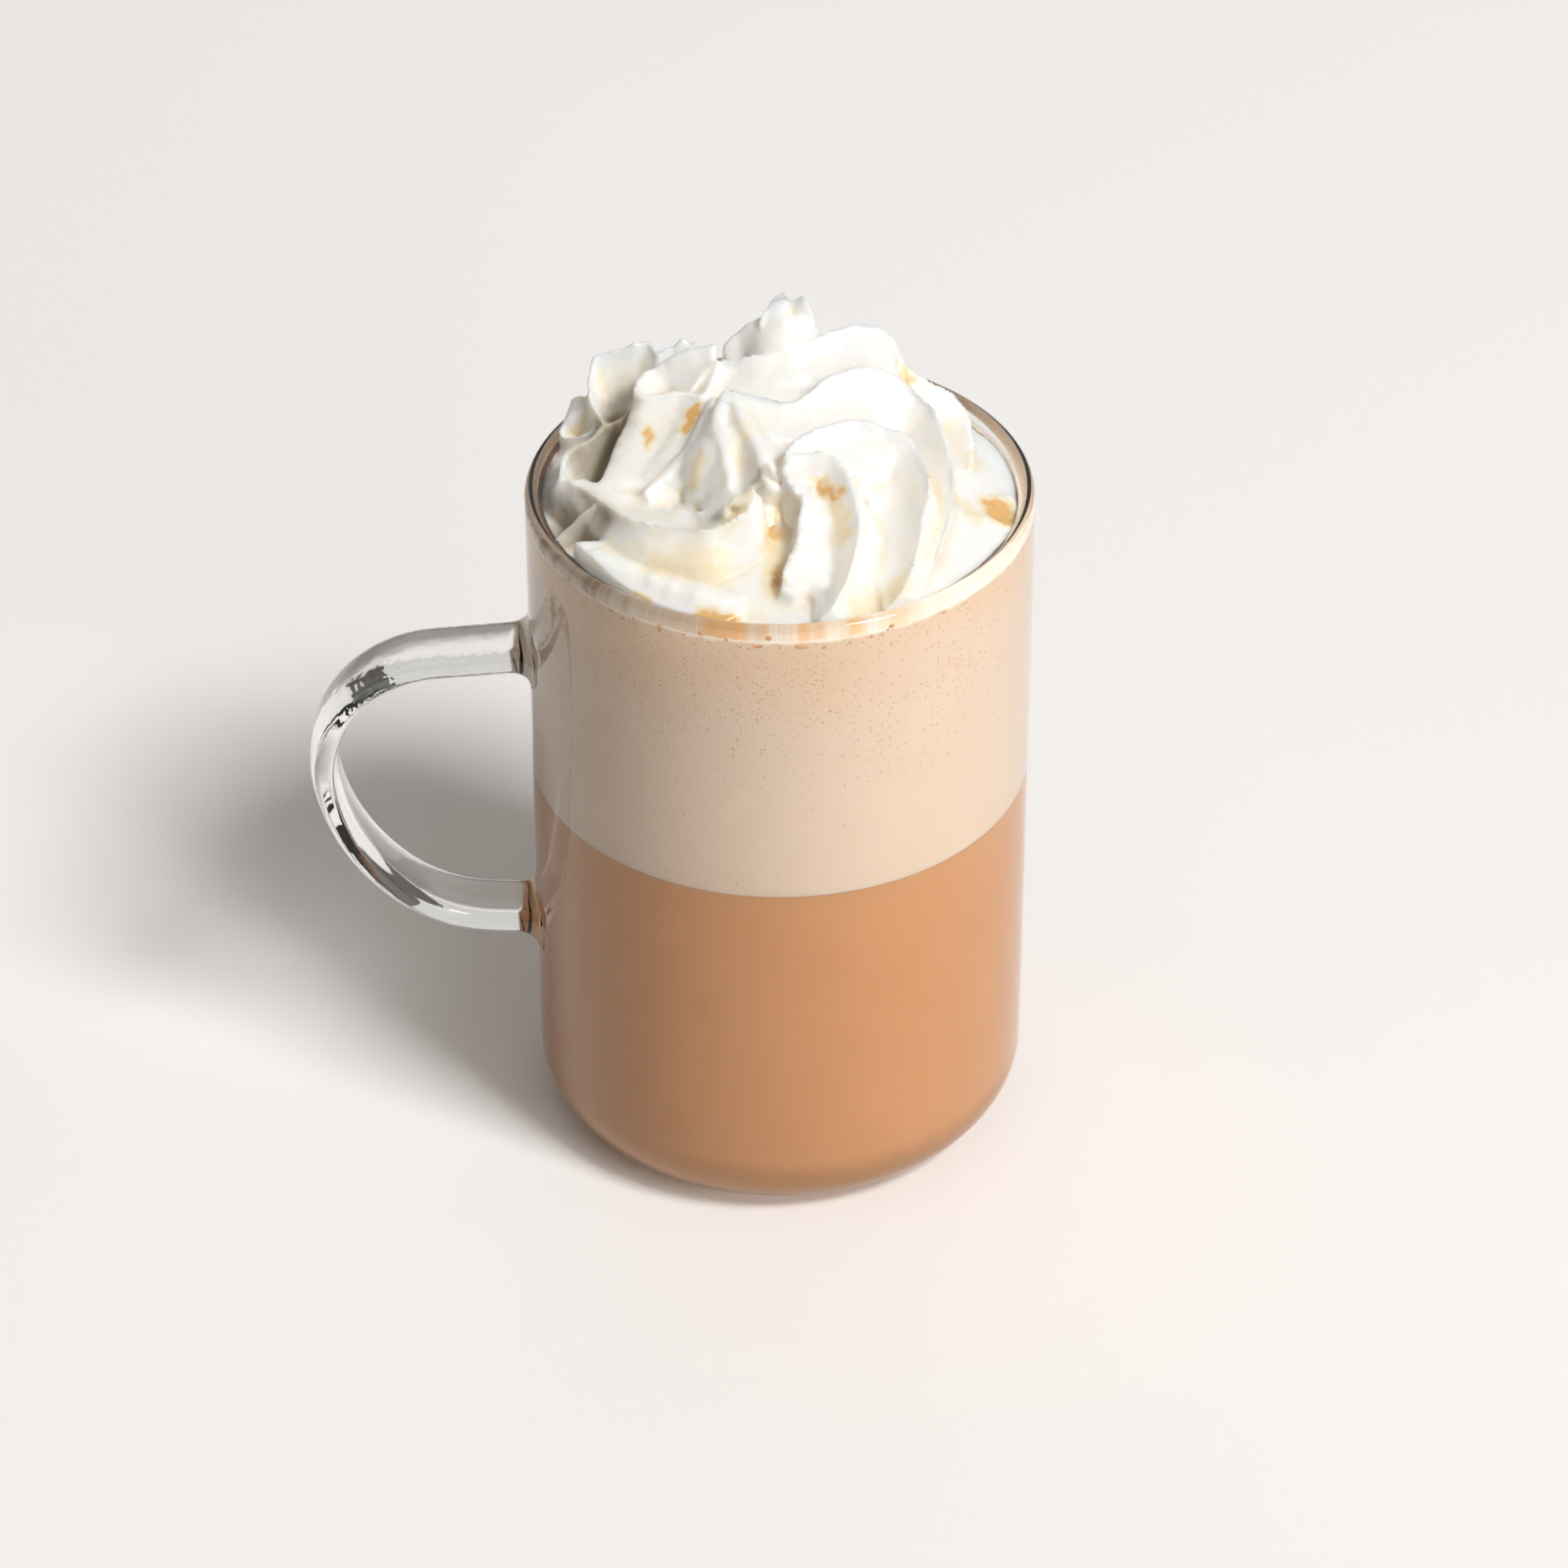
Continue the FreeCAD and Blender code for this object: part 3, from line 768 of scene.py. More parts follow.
# whipped cream: every arm of the swirl is a wave drawn along its crest, and all melt into one body
# crest: points at x, y from the middle and height over the lip, in mm
# hollow: width, depth and bend of the wave's inner side; drop: width, depth and lean of its outer side
# torn: how far the crest is torn up and down; edge: half its thickness; fall: bend of the outer side
# ends: share of its size at its start and its end; side: -1 where the outer side is on the crest's right
creamArms = {
    "summit": {
        "crest": [(-8.5, 19.5, 14), (-5, 20.5, 16.5), (-1.5, 20, 19), (1.5, 19, 19.5), (5, 19.5, 18.5),
                  (7.5, 20, 15)],
        "hollow": (9, 7, 1.2), "drop": (6, 18, 0.2), "torn": 0.5},
    "crater": {
        "crest": [(-2.8, 18.5, 18.5), (-1.2, 20.3, 21), (1.3, 21, 22.8), (2.8, 21, 21.4),
                  (4.4, 20.5, 22), (6.2, 19.3, 19)],
        "hollow": (2.8, 3.6, 2.6), "drop": (1.6, 9, 0.2), "torn": 1.1},
    "ridgeA": {
        "crest": [(-9, 15, 14), (-3.5, 14, 15), (3.5, 15.5, 16), (11.5, 19.5, 17.5), (16.5, 21, 16),
                  (19, 21.5, 13), (21, 21, 8.5), (24, 22, 4)],
        "hollow": (9, 5, 1.7), "drop": (5, 16, 0.5), "torn": 0.5},
    "ridgeB": {
        "crest": [(-9, 7, 14), (-4, 5.5, 13.5), (1, 4.5, 13), (5, 6.5, 13.5), (8.5, 10, 14),
                  (14.5, 12.5, 13.5), (19.5, 11.5, 12), (23.5, 8.5, 10), (25.5, 2.5, 8.5),
                  (26.5, -5.5, 7), (26.5, -12, 5.5), (24.5, -20, 3.5), (21.5, -27.5, 0.5)],
        "hollow": (9, 5, 1.8), "drop": (3, 12, 0.8), "torn": 0},
    "ridgeC": {
        "crest": [(0, -11.5, 12.5), (2, -8, 13.5), (6.5, -4.5, 14), (11.5, -3, 14), (17, -4, 13),
                  (20.5, -6.5, 11.5), (22.5, -13, 9.5), (21.5, -20.5, 7), (19.5, -29, 4.5),
                  (17, -35.5, 1.5)],
        "hollow": (9, 5, 1.9), "drop": (3, 9, 0.9), "torn": 0},
    "ridgeD": {
        "crest": [(-0.5, -13, 12), (3, -10.5, 12.5), (8, -11.5, 12.5), (10.5, -17, 11.5),
                  (11.5, -23.5, 9), (10.5, -29, 6.5), (8.5, -34.5, 3.5), (6, -38, 0.5)],
        "hollow": (8, 4, 1.8), "drop": (3, 8, 0.9), "torn": 0},
    "tornE": {
        "crest": [(0, -14.5, 11), (1.5, -17.5, 10.5), (2.5, -19, 10), (2, -22.5, 8), (1.5, -26, 6),
                  (-0.5, -29.5, 4), (-1.5, -32, 2)],
        "hollow": (7, 2.5, 1.2), "drop": (1, 7, 0.8), "torn": 0.7, "side": -1},
    "frontF": {
        "crest": [(-4, -18.5, 12.5), (-3.5, -21, 12), (-4.5, -23, 11), (-7.5, -24.5, 9.5),
                  (-11.5, -26, 9), (-16, -25, 8.5), (-20, -23.5, 8.5), (-24, -21, 8), (-27.5, -17, 7.5),
                  (-30.5, -11, 6.5), (-34.5, -4.5, 5.5)],
        "hollow": (12, 4.5, 1.7), "drop": (1.5, 9, 2.4), "torn": 0.05},
    "frontG": {
        "crest": [(-32, -19, 3), (-30, -22, 3), (-26.5, -24.5, 2.5), (-22, -26.5, 2), (-16, -30, 1.5),
                  (-11, -32, 1), (-6.5, -32.5, 0.5)],
        "hollow": (9, 2.5, 1.0), "drop": (7, 2.5, -0.6), "torn": 0.4, "side": -1},
    "foldM": {
        "crest": [(-21.5, -8, 4.5), (-16.5, -4, 7), (-13, -0.5, 9.5), (-11.5, 3.5, 11), (-10, 7, 12.5)],
        "hollow": (8, 6, 1.1), "drop": (5, 5, 0.1), "fall": 1.4, "torn": 0, "edge": 0.8},
    "foldN": {
        "crest": [(-8.5, -13.5, 8.5), (-8, -11, 9.8), (-8.5, -6, 11.3), (-9.5, -1, 12.5), (-9, 4, 13.5)],
        "hollow": (6.5, 6, 1.05), "drop": (6, 6, 0), "fall": 1.25, "torn": 0, "edge": 0.8},
    "foldO": {
        "crest": [(-3, -15, 11), (-3, -10.5, 12), (-4, -5.5, 12.5), (-5.5, -1, 13), (-7, 4, 13.3)],
        "hollow": (6.5, 6, 1.05), "drop": (6, 6, 0), "fall": 1.25, "torn": 0, "edge": 0.8},
    "cupFront": {
        "crest": [(-9, 13.5, 15), (-10.5, 10, 13), (-12, 7.5, 12.5), (-15, 9, 12), (-19.5, 9, 11.5),
                  (-22.5, 10, 11)],
        "hollow": (9, 4, 1.8), "drop": (15, 7, 0.9), "fall": 1.6, "torn": 0.15, "ends": (0.5, 1.0)},
    "cupBack": {
        "crest": [(-22.5, 10, 11), (-21.5, 14, 12), (-18.5, 16.5, 13), (-14.5, 17, 14.5),
                  (-9.5, 16.5, 16)],
        "hollow": (8, 4, 1.5), "drop": (5, 13, 0.4), "torn": 0.4},
    "leftI": {
        "crest": [(-27.5, 10.5, 6), (-29.5, 15, 8), (-29, 20.5, 10.5), (-27.5, 21.5, 11.5),
                  (-22.5, 21.5, 13), (-20, 21.5, 14), (-18.5, 18.5, 13), (-18, 19, 14), (-14.5, 20, 15),
                  (-12.5, 19.5, 14.5)],
        "hollow": (6, 8, 1.6), "drop": (3, 14, 0.5), "torn": 0.9, "edge": 0.5},
    "leftSmall": {
        "crest": [(-27.5, 13, 6), (-30, 12, 3), (-34, 14, 1.5), (-33.5, 19.5, 3.5), (-29.5, 17, 7)],
        "hollow": (5, 4, 1.3), "drop": (2, 6, 0.3), "torn": 0.45, "edge": 0.6},
    "tongue": {
        "crest": [(-34.5, -4.5, 5.5), (-33, 2.5, 5.5), (-29.5, 7.5, 5), (-27.5, 11, 4.5), (-24, 13.5, 5)],
        "hollow": (8, 8, 1.7), "drop": (2, 7, 0.3), "torn": 0.1, "edge": 0.8},
    "outerRight": {
        "crest": [(21, 20, 9), (24, 20, 6.5), (28.5, 19.5, 3.5), (30.5, 15.5, 1.5), (30.5, 5.5, 0.5),
                  (28.5, -3, 0.5)],
        "hollow": (7, 3, 1.5), "drop": (2, 6, 0.5), "torn": 0.5},
    "lowRight": {
        "crest": [(27, -9.5, 1), (29, -6, 0.5), (32.5, -3, -0.5), (36.5, -1.5, -1.5)],
        "hollow": (8, 2, 1.3), "drop": (3, 3, 0.2), "torn": 0.4},
    "shredLow": {
        "crest": [(-36, -13.5, -0.5), (-32.5, -12.5, 2.5), (-29, -11.5, 5)],
        "hollow": (0.6, 1.5, 1), "drop": (0.5, 1.5, 0), "torn": 0.3},
}
armDefaults = {"fall": 2.4, "edge": 0.35, "ends": (0.35, 0.35), "side": 1}
armShape = {
    "stations": 9,  # for each crest point
    "acrossSteps": 12, "crestDip": 0.12, "endTaper": 2.6,
    "tearSize": 1.3, "tearReach": 1.5,  # mm, along the crest and down from it
    "wave": (0.5, 5.0),  # rise and size in mm
}
creamBody = {
    "base": -3.4, "skirt": 1,  # mm over the lip; the arms go on down by the skirt, which is cut off
    # low domes under the arms: x, y, radius, height and edge over the lip
    "mounds": [(0, 0, 37.5, 1.0, -2.5), (2.5, -4.0, 32.5, 5.0, -1.8), (-5.0, -10.0, 8.0, 9.3, 4.0),
               (-7.5, -2.5, 9.0, 11.6, 6.0)],
    "moundSides": 96, "moundRings": 16, "moundHub": 0.2 * mm, "moundTop": 0.03,
    "voxel": 0.33 * mm, "softness": 0.5, "rounding": 12, "mostFaces": 176000,
    "lumps": (0.55, 9.0), "grain": (0.14, 2.2),  # swell and size in mm
    "filmShare": 0.6,  # it is pressed into the film, to this share of its thickness from the glass
}


def crestPath(points, stations):
    # an even run of points on a smooth curve through the given ones
    points = np.array(points, dtype=float)
    padded = np.vstack([2 * points[0] - points[1], points, 2 * points[-1] - points[-2]])
    steps = np.linspace(0, 1, 24, endpoint=False)
    dense = []
    for i in range(1, len(padded) - 2):
        a, b, c, d = padded[i - 1:i + 3]
        for t in steps:
            dense.append(0.5 * (2 * b + (c - a) * t + (2 * a - 5 * b + 4 * c - d) * t * t
                                + (3 * b - a - 3 * c + d) * t ** 3))
    dense.append(padded[-2])
    dense = np.array(dense)
    length = np.concatenate([[0], np.cumsum(np.linalg.norm(np.diff(dense, axis=0), axis=1))])
    even = np.linspace(0, length[-1], stations)
    return np.array([np.interp(even, length, dense[:, axis]) for axis in range(3)]).T, length[-1]


def armSection(arm):
    # one wave across the arm: width out from the eye, depth down, and 1 where it follows the crest
    hollowWidth, hollowDepth, bend = arm["hollow"]
    dropWidth, dropDepth, lean = arm["drop"]
    edge = arm["edge"]
    steps = armShape["acrossSteps"]
    section = []
    for q in np.linspace(0, 1, steps, endpoint=False):
        section.append((-hollowWidth * (1 - q), -hollowDepth * (1 - q ** bend), 1))
    section.append((-edge, -armShape["crestDip"], 1))
    section.append((edge, -armShape["crestDip"], 1))
    for q in np.linspace(0, 1, steps)[1:]:
        # the crest leans out furthest about a quarter of the way down
        out = dropWidth * q ** arm["fall"] - lean * math.sin(math.pi * min(1, q * 1.6) ** 0.7)
        section.append((out + edge, -dropDepth * q, 1))
    section.append((dropWidth + edge, 0, 0))
    section.append((-hollowWidth, 0, 0))
    return section


def armMesh(name, arm):
    path, length = crestPath(arm["crest"], len(arm["crest"]) * armShape["stations"])
    section = armSection(arm)
    foot = creamBody["base"] - creamBody["skirt"]
    first, last = arm["ends"]
    waveRise, waveSize = armShape["wave"]
    verts, faces = [], []
    count = len(path)
    smooth = np.array([path[max(0, i - 3):i + 4].mean(axis=0) for i in range(count)])
    tangent = np.gradient(smooth, axis=0)[:, :2]
    tangent /= np.linalg.norm(tangent, axis=1)[:, None]
    for i, (x, y, h) in enumerate(path):
        share = i / (count - 1)
        taper = min(1.0, first + armShape["endTaper"] * share, last + armShape["endTaper"] * (1 - share))
        out = Vector((-tangent[i][1], tangent[i][0], 0)) * arm["side"]
        along = share * length
        # the length of its name gives an arm its own tears and waves
        spot = along / armShape["tearSize"]
        tear = noise.noise(Vector((spot, len(name) * 3.7, 0)))
        tear += 0.5 * noise.noise(Vector((spot * 2.3, len(name) * 1.9, 5)))
        wave = waveRise * noise.noise(Vector((along / waveSize, len(name) * 2.3, 9)))
        for n, z, free in section:
            near = math.exp(-abs(z) / armShape["tearReach"]) if free else 0
            px = x + out.x * n * taper
            py = y + out.y * n * taper
            pz = h + z * taper + (tear * arm["torn"] + wave) * near if free else foot
            verts.append((px * mm, py * mm, max(pz, foot) * mm + lipZ))
    width = len(section)
    for i in range(count - 1):
        for j in range(width):
            a = i * width + j
            b = i * width + (j + 1) % width
            faces.append((a, b, b + width, a + width))
    faces.append(tuple(range(width)))
    faces.append(tuple(reversed(range((count - 1) * width, count * width))))
    data = bpy.data.meshes.new(name)
    data.from_pydata(verts, [], faces)
    piece = bpy.data.objects.new(name, data)
    bpy.context.scene.collection.objects.link(piece)
    makeActive(piece)
    bpy.ops.object.mode_set(mode="EDIT")
    bpy.ops.mesh.select_all(action="SELECT")
    bpy.ops.mesh.normals_make_consistent(inside=False)
    bpy.ops.object.mode_set(mode="OBJECT")
    return piece


def creamMound(x, y, radius, height, edge):
    shape = creamBody
    foot = lipZ + (shape["base"] - shape["skirt"]) * mm
    rings = [(shape["moundHub"], foot), (radius * mm, foot)]
    for share in np.linspace(1, shape["moundTop"], shape["moundRings"]):
        rings.append((radius * share * mm, lipZ + (edge + (height - edge) * (1 - share ** 2)) * mm))
    mound = turnedPiece("mound", rings, shape["moundSides"])
    makeActive(mound)
    mound.location = (x * mm, y * mm, 0)
    bpy.ops.object.transform_apply(location=True)
    return mound


# coffee and syrup on the cream, and on the folds partly painted shade, in runs: from x, y to x, y from the
# middle, reach (all in mm), strength
creamStains = {
    "groove": [(-1.6, -17, -1.2, -20, 1.5, 0.85), (-1.6, -20, -1.9, -30, 2.1, 0.58),
               (-1.7, -27, -1.8, -29, 1.3, 0.8)],
    "ridgeD": [(5.5, -15.2, 7.9, -18.2, 1.3, 0.85), (7.5, -17.5, 8.9, -25, 1.6, 0.5)],
    "column": [(-20.5, 1.5, -20.3, 4.5, 1.1, 0.85), (-14.5, 3, -13.4, 6, 1.3, 1.0),
               (-19.5, -4, -18.5, 6, 3.0, 0.2)],
    # partly coffee, partly painted shade: beige where these folds slope away from the lamps
    "folds": [(-13.5, -9, -12.5, -6, 1.7, 0.5), (-7, -7, -5, -2, 2.6, 0.3),
              (-9, -22, -6, -20, 2.4, 0.4), (-22, -17, -17, -20, 3, 0.22),
              (-20, -25.5, -10, -27, 3, 0.45), (-24, -13, -18, -15, 3, 0.3)],
    "front": [(-13, -35.5, -8, -36.5, 1.8, 1.0), (-6, -34, -2, -36, 2, 0.3),
              (-23, -30.5, -22, -31, 1.2, 0.9), (11, -34, 17, -31, 2.6, 0.5)],
    "right": [(33.8, -5.4, 34.2, -8.2, 2.7, 1.25), (28, -7, 30, -10, 2.4, 0.45),
              (30, 4, 31, 7, 2.2, 0.4)],
    "back": [(20.5, 19, 21.5, 18.5, 1.2, 0.7), (-8, 7, -6.5, 7.5, 0.6, 0.8)],
    "cleft": [(-28, -20, -14, -26, 2.0, 0.3)],
}
# hollows that little light gets into, in the same terms
creamShade = [
    (-34, -9, -29, -15, 3.2, 0.75), (-29.5, 2.5, -26, 9, 4.0, 1.0), (-26, 10, -24.5, 16, 3.0, 0.6),
    (-3.5, -14.5, -2, -13, 1.2, 0.7),
]
creamPaint = {
    "hollowRounds": 30, "softRounds": 3,  # how often a vertex is levelled with its neighbours
    "fullDepth": 0.8,  # mm
    "warpSize": 1.6, "warp": 0.9,  # mm by which the edges of a stain wander
    "stainFade": 2.2, "shadeFade": 3,  # a higher power is a harder edge
}


def neighbourMean(values, edges, count, rounds):
    # soften a value per vertex over the mesh
    ends = np.concatenate([edges[:, 0], edges[:, 1]])
    others = np.concatenate([edges[:, 1], edges[:, 0]])
    links = np.maximum(np.bincount(ends, minlength=count), 1)
    for _ in range(rounds):
        if values.ndim == 1:
            values = np.bincount(ends, weights=values[others], minlength=count) / links
        else:
            values = np.stack([
                np.bincount(ends, weights=values[others, axis], minlength=count) / links
                for axis in range(values.shape[1])
            ], axis=1)
    return values


def runMark(place, run, fade):
    # how strongly one run marks each vertex
    x, y, endX, endY, reach, strength = run
    runX, runY = endX - x, endY - y
    dx, dy = place[:, 0] / mm - x, place[:, 1] / mm - y
    along = np.clip((dx * runX + dy * runY) / (runX ** 2 + runY ** 2), 0, 1)
    away = np.hypot(dx - along * runX, dy - along * runY) / reach
    return strength * np.exp(-away ** fade)


def paintCream(data):
    # per vertex: how deep in a crease it lies, how much coffee it took (on the folds partly painted shade),
    # and how deep in shade it is
    paint = creamPaint
    count = len(data.vertices)
    place = vertexArray(data, "co")
    normal = vertexArray(data, "normal")
    edges = np.empty(len(data.edges) * 2, dtype=int)
    data.edges.foreach_get("vertices", edges)
    edges = edges.reshape(-1, 2)
    smooth = neighbourMean(place, edges, count, paint["hollowRounds"])
    depth = np.einsum("ij,ij->i", smooth - place, normal) / mm
    crease = np.clip(neighbourMean(depth, edges, count, paint["softRounds"]) / paint["fullDepth"], -1, 1)
    warp = [noise.noise_vector(Vector(spot) / (paint["warpSize"] * mm)) for spot in place]
    place = place + np.array(warp) * paint["warp"] * mm
    stainAndShade = np.zeros(count)
    for runs in creamStains.values():
        for run in runs:
            stainAndShade = np.maximum(stainAndShade, runMark(place, run, paint["stainFade"]))
    shade = np.zeros(count)
    for run in creamShade:
        shade = np.maximum(shade, runMark(place, run, paint["shadeFade"]))
    for name, values in (("crease", crease), ("stainAndShade", stainAndShade), ("shade", shade)):
        layer = data.attributes.new(name, "FLOAT", "POINT")
        layer.data.foreach_set("value", values.astype(np.float32))


def keepMainBody(piece):
    # crumbs that came loose in the melt are dropped, and small gaps are closed
    makeActive(piece)
    top = int(np.argmax([vertex.co.z for vertex in piece.data.vertices]))
    bpy.ops.object.mode_set(mode="EDIT")
    bpy.ops.mesh.select_all(action="DESELECT")
    bpy.ops.object.mode_set(mode="OBJECT")
    piece.data.vertices[top].select = True
    bpy.ops.object.mode_set(mode="EDIT")
    bpy.ops.mesh.select_linked()
    bpy.ops.mesh.select_all(action="INVERT")
    bpy.ops.mesh.delete(type="VERT")
    bpy.ops.mesh.select_all(action="SELECT")
    bpy.ops.mesh.fill_holes(sides=0)
    bpy.ops.mesh.normals_make_consistent(inside=False)
    bpy.ops.object.mode_set(mode="OBJECT")


def roughenCream(data):
    # lumps and grain on the skin, and what stands past the glass is pressed against it
    place = vertexArray(data, "co")
    normal = vertexArray(data, "normal")
    lumpRise, lumpSize = creamBody["lumps"]
    grainRise, grainSize = creamBody["grain"]
    apart = Vector((9, 4, 2))  # keeps the grain from following the lumps
    for i in range(len(place)):
        spot = Vector(place[i]) / mm
        rise = lumpRise * noise.noise(spot / lumpSize)
        rise += grainRise * noise.noise(spot / grainSize + apart)
        place[i] += normal[i] * rise * mm
    radius = np.hypot(place[:, 0], place[:, 1])
    limit = innerRadius - filmShape["thick"] * creamBody["filmShare"]
    squeeze = np.where(radius > limit, limit / radius, 1.0)
    place[:, 0] *= squeeze
    place[:, 1] *= squeeze
    data.vertices.foreach_set("co", place.ravel())
    data.update()


def buildCream(material):
    parts = [armMesh(name, {**armDefaults, **arm}) for name, arm in creamArms.items()]
    parts += [creamMound(*mound) for mound in creamBody["mounds"]]
    clearSelection()
    for part in parts:
        part.select_set(True)
    cream = parts[-1]
    bpy.context.view_layer.objects.active = cream
    bpy.ops.object.join()
    cream.name = "whippedCream"
    melt = cream.modifiers.new("melt", "REMESH")
    melt.mode = "VOXEL"
    melt.voxel_size = creamBody["voxel"]
    soft = cream.modifiers.new("soft", "SMOOTH")
    soft.factor = creamBody["softness"]
    soft.iterations = creamBody["rounding"]
    applyAll(cream)
    thin = cream.modifiers.new("thin", "DECIMATE")
    thin.ratio = min(1.0, creamBody["mostFaces"] / (2 * len(cream.data.polygons)))
    thin.use_collapse_triangulate = True
    applyAll(cream)
    roughenCream(cream.data)
    keepMainBody(cream)
    bpy.ops.object.mode_set(mode="EDIT")
    bpy.ops.mesh.select_all(action="SELECT")
    bpy.ops.mesh.bisect(
        plane_co=(0, 0, froth), plane_no=(0, 0, -1), clear_outer=True, use_fill=True, threshold=fineWeld
    )
    bpy.ops.object.mode_set(mode="OBJECT")
    keepMainBody(cream)
    bpy.ops.object.shade_smooth()
    paintCream(cream.data)
    finishPiece(cream, material, "cream", "whipped_cream")


creamLook = {
    "colour": (0.93, 0.912, 0.875, 1), "warm": (0.92, 0.885, 0.81, 1), "mottle": (160.0, 0.5),
    # crease: darker beige in creases and hollows, partly coffee settled there and partly painted shade
    "crease": (0.86, 0.735, 0.54, 1), "creaseFade": (0.05, 0.75, 0.0, 0.75),
    "shade": (0.36, 0.31, 0.22, 1), "shadeShare": 0.9,
    "blotSize": (560.0, 4.0, 0.6), "blotShare": 0.36,
    "tinge": (0.90, 0.80, 0.60, 1), "tingeFade": (0.1, 0.5), "stainFade": (0.0, 0.2),
    "syrup": (0.80, 0.49, 0.18, 1), "syrupFade": (0.42, 0.95),
    "roughness": (0.0, 1.0, 0.42, 0.2), "sink": (1.0, (1.0, 0.82, 0.6), 2.2 * mm),
    "pits": {"Size": 900.0, "Dot": 0.3, "Share": 0.25}, "pitDepth": 0.6,
    "grain": (900.0, 4.0, 0.6), "bump": (0.35, 0.25 * mm),
}


def creamMaterial(groups):
    look = creamLook
    material, tree, shader = newMaterial("whippedCream")
    place = objectPlace(tree)[0]
    crease, stainAndShade, shade = (
        addNode(tree, "ShaderNodeAttribute", attribute_name=name).outputs["Fac"]
        for name in ("crease", "stainAndShade", "shade")
    )
    mottle = addMottle(tree, groups, place, look)
    # darker beige in the creases: partly coffee, partly painted shade
    deep = mapRange(tree, crease, *look["creaseFade"])
    colour = mixColour(tree, deep, mottle.outputs["Colour"], look["crease"])
    colour = mixColour(tree, calc(tree, "MULTIPLY", shade, look["shadeShare"]), colour, look["shade"])
    blots = calc(tree, "SUBTRACT", noiseAt(tree, place, *look["blotSize"]), 0.5)
    uneven = calc(tree, "ADD", stainAndShade, calc(tree, "MULTIPLY", blots, look["blotShare"]))
    tinge = calc(
        tree, "MULTIPLY",
        mapRange(tree, uneven, *look["tingeFade"]), mapRange(tree, stainAndShade, *look["stainFade"]),
    )
    colour = mixColour(tree, tinge, colour, look["tinge"])
    syrup = mapRange(tree, uneven, *look["syrupFade"])
    colour = mixColour(tree, syrup, colour, look["syrup"])
    tree.links.new(colour, shader.inputs["Base Color"])
    tree.links.new(mapRange(tree, syrup, *look["roughness"]), shader.inputs["Roughness"])
    sinkLight(shader, *look["sink"])
    pits = addGroup(tree, groups["pinhole"], place, **look["pits"])
    pitting = calc(tree, "MULTIPLY", pits.outputs["Mask"], look["pitDepth"])
    height = calc(tree, "SUBTRACT", noiseAt(tree, place, *look["grain"]), pitting)
    addBump(tree, shader, height, *look["bump"])
    return material


# stage, lamps and camera; azimuth 0 is the front, and turns to the right; distances are in metres

stageLook = {
    "floor": (0.965, 0.948, 0.935, 1), "floorSize": 30, "floorRoughness": 0.9, "floorSpecular": 0.1,
    "skyStrength": 0.095, "skyColour": (1.0, 0.95, 0.89, 1),
}
lamps = {
    "key": {"power": 206.0, "size": (1.3, 1.3), "distance": 5.0, "azimuth": 47.0, "height": 50.0,
            "colour": (1.0, 1.0, 1.0)},
    "front": {"power": 21.0, "size": (2.0, 1.5), "distance": 4.0, "azimuth": 28.0, "height": 18.0,
              "colour": (1.0, 0.98, 0.95)},
    "back": {"power": 15.0, "size": (4.0, 2.2), "distance": 3.0, "azimuth": 180.0, "height": 36.0,
             "colour": (1.0, 0.98, 0.95)},
    "top": {"power": 13.0, "size": (3.0, 3.0), "distance": 3.0, "azimuth": -60.0, "height": 78.0,
            "colour": (1.0, 0.95, 0.89)},
}


cameraPlace = {
    "distance": 0.9269, "azimuth": -2.0, "height": 35.84,
    "aimX": 0.00063, "aimZ": 0.05933, "lens": 131.1, "sensor": 36,
}


def direction(azimuth, height):
    azimuth = math.radians(azimuth)
    height = math.radians(height)
    return Vector((
        math.sin(azimuth) * math.cos(height), -math.cos(azimuth) * math.cos(height), math.sin(height)
    ))


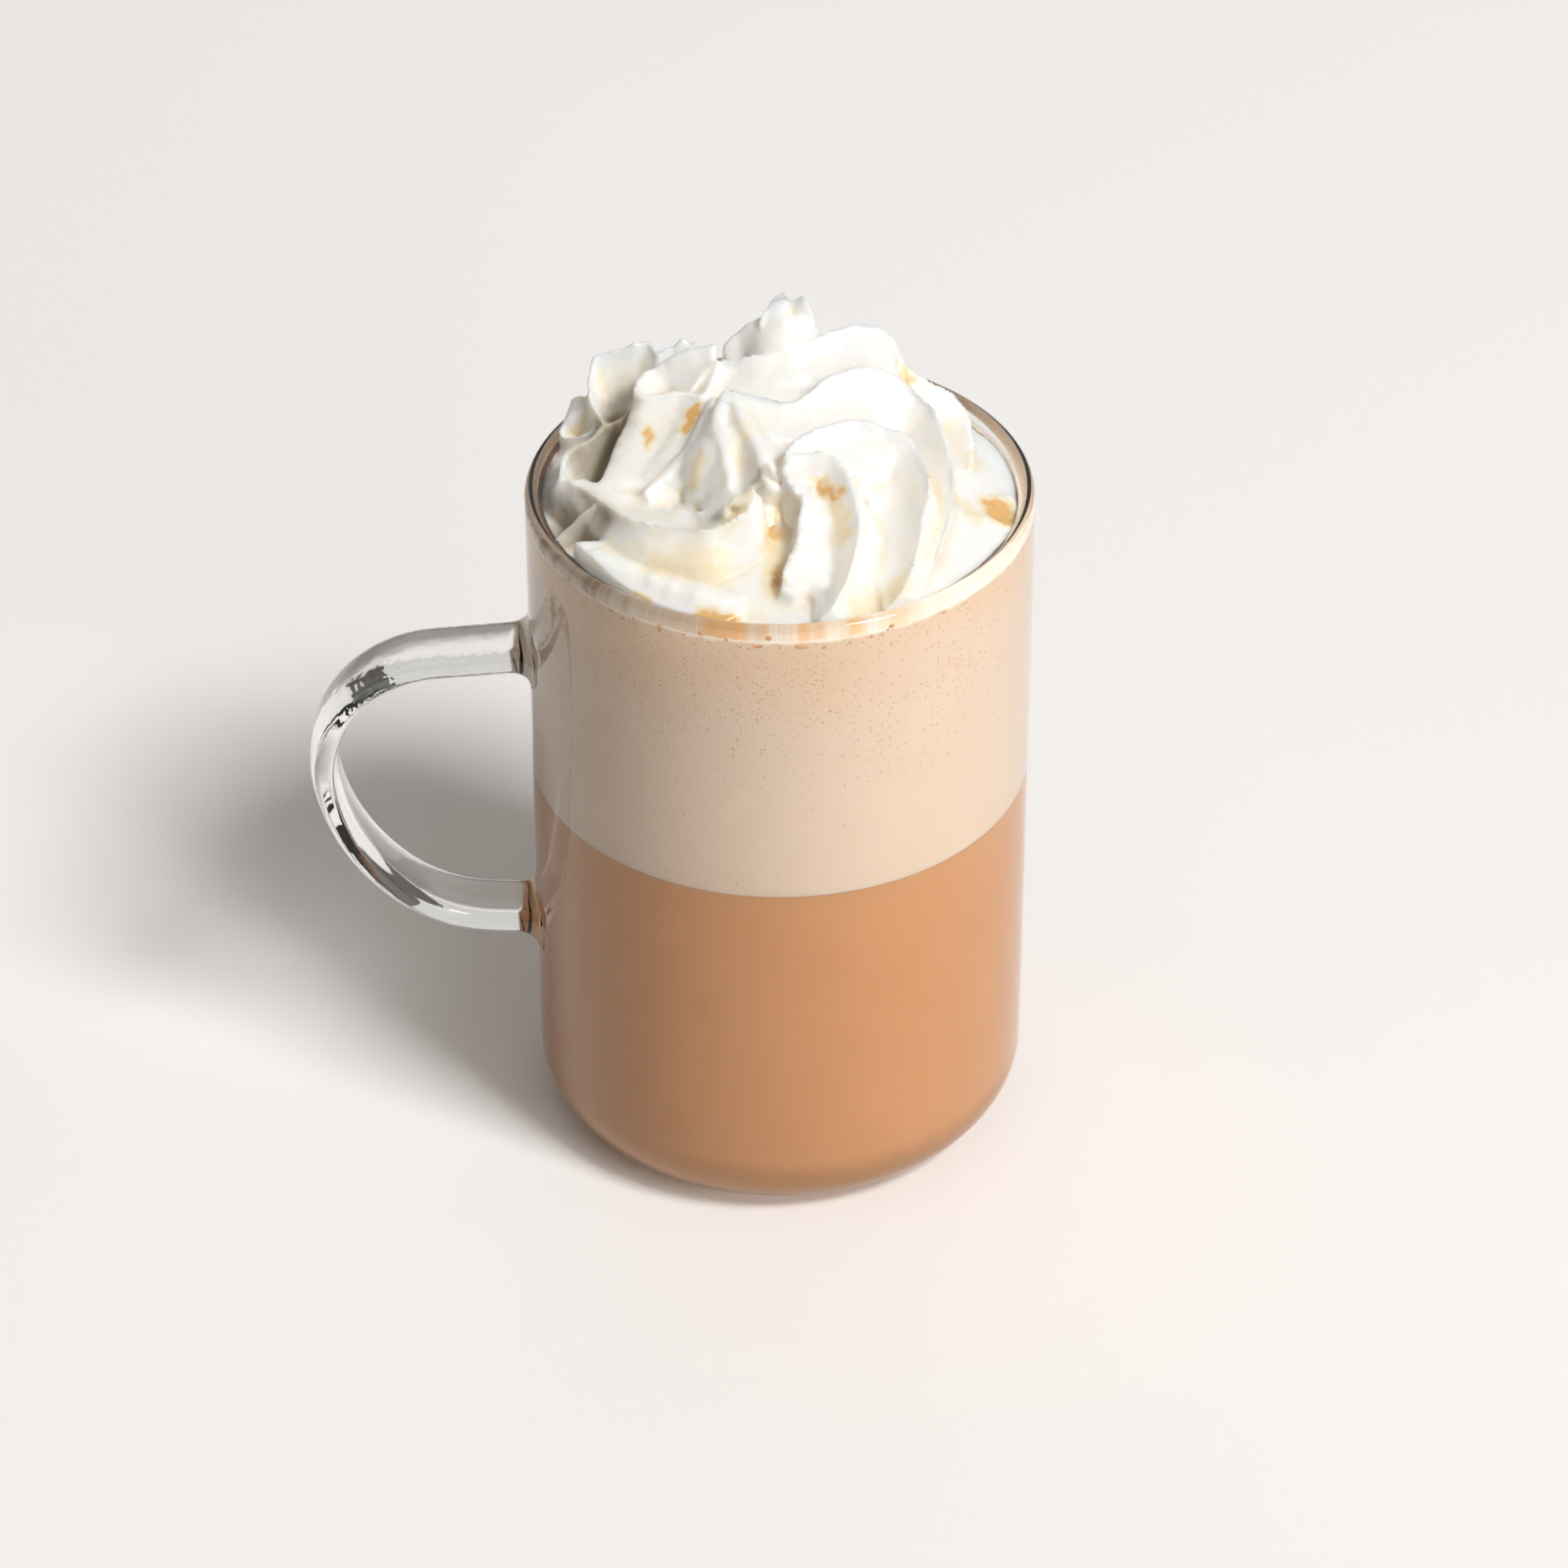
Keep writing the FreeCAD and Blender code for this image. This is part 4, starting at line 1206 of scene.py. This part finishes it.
def addFacing(thing, away):
    # a lamp or a camera joins the scene, turned to look back the way it was moved out
    thing.rotation_mode = "QUATERNION"
    thing.rotation_quaternion = away.to_track_quat("Z", "Y")
    bpy.context.scene.collection.objects.link(thing)


def buildStage():
    clearSelection()
    bpy.ops.mesh.primitive_plane_add(size=stageLook["floorSize"], location=(0, 0, 0))
    floor = bpy.context.object
    floor.name = "floor"
    material, _, shader = newMaterial("paleFloor")
    shader.inputs["Base Color"].default_value = stageLook["floor"]
    shader.inputs["Roughness"].default_value = stageLook["floorRoughness"]
    shader.inputs["Specular IOR Level"].default_value = stageLook["floorSpecular"]
    floor.data.materials.append(material)

    world = bpy.data.worlds.new("softRoom")
    bpy.context.scene.world = world
    world.use_nodes = True
    background = world.node_tree.nodes["Background"]
    background.inputs["Color"].default_value = stageLook["skyColour"]
    background.inputs["Strength"].default_value = stageLook["skyStrength"]

    for name, look in lamps.items():
        away = direction(look["azimuth"], look["height"])
        light = bpy.data.lights.new(name, "AREA")
        light.energy = look["power"]
        light.color = look["colour"]
        light.shape = "RECTANGLE"
        light.size, light.size_y = look["size"]
        lamp = bpy.data.objects.new(name, light)
        lamp.location = away * look["distance"] + Vector((0, 0, lipZ / 2))
        addFacing(lamp, away)


def buildCamera():
    place = cameraPlace
    away = direction(place["azimuth"], place["height"])
    azimuth = math.radians(place["azimuth"])
    right = Vector((math.cos(azimuth), math.sin(azimuth), 0))
    lens = bpy.data.cameras.new("camera")
    lens.lens = place["lens"]
    lens.sensor_width = place["sensor"]
    camera = bpy.data.objects.new("camera", lens)
    aim = right * place["aimX"] + Vector((0, 0, place["aimZ"]))
    camera.location = aim + away * place["distance"]
    addFacing(camera, away)
    bpy.context.scene.camera = camera


bpy.context.scene.view_settings.view_transform = "Standard"
buildStage()
buildCamera()
print("stage, lamps and camera set")
buildMug(glassMaterial())
print("mug built")
groups = {"mottle": mottleGroup(), "pinhole": pinholeGroup()}
buildLatte(latteMaterial(groups))
buildFoam(foamMaterial(groups))
print("drink poured")
buildFilm(filmMaterial(groups))
buildBubbles(bubbleMaterial())
print("film and bubbles made")
buildCream(creamMaterial(groups))
print("cream piped")
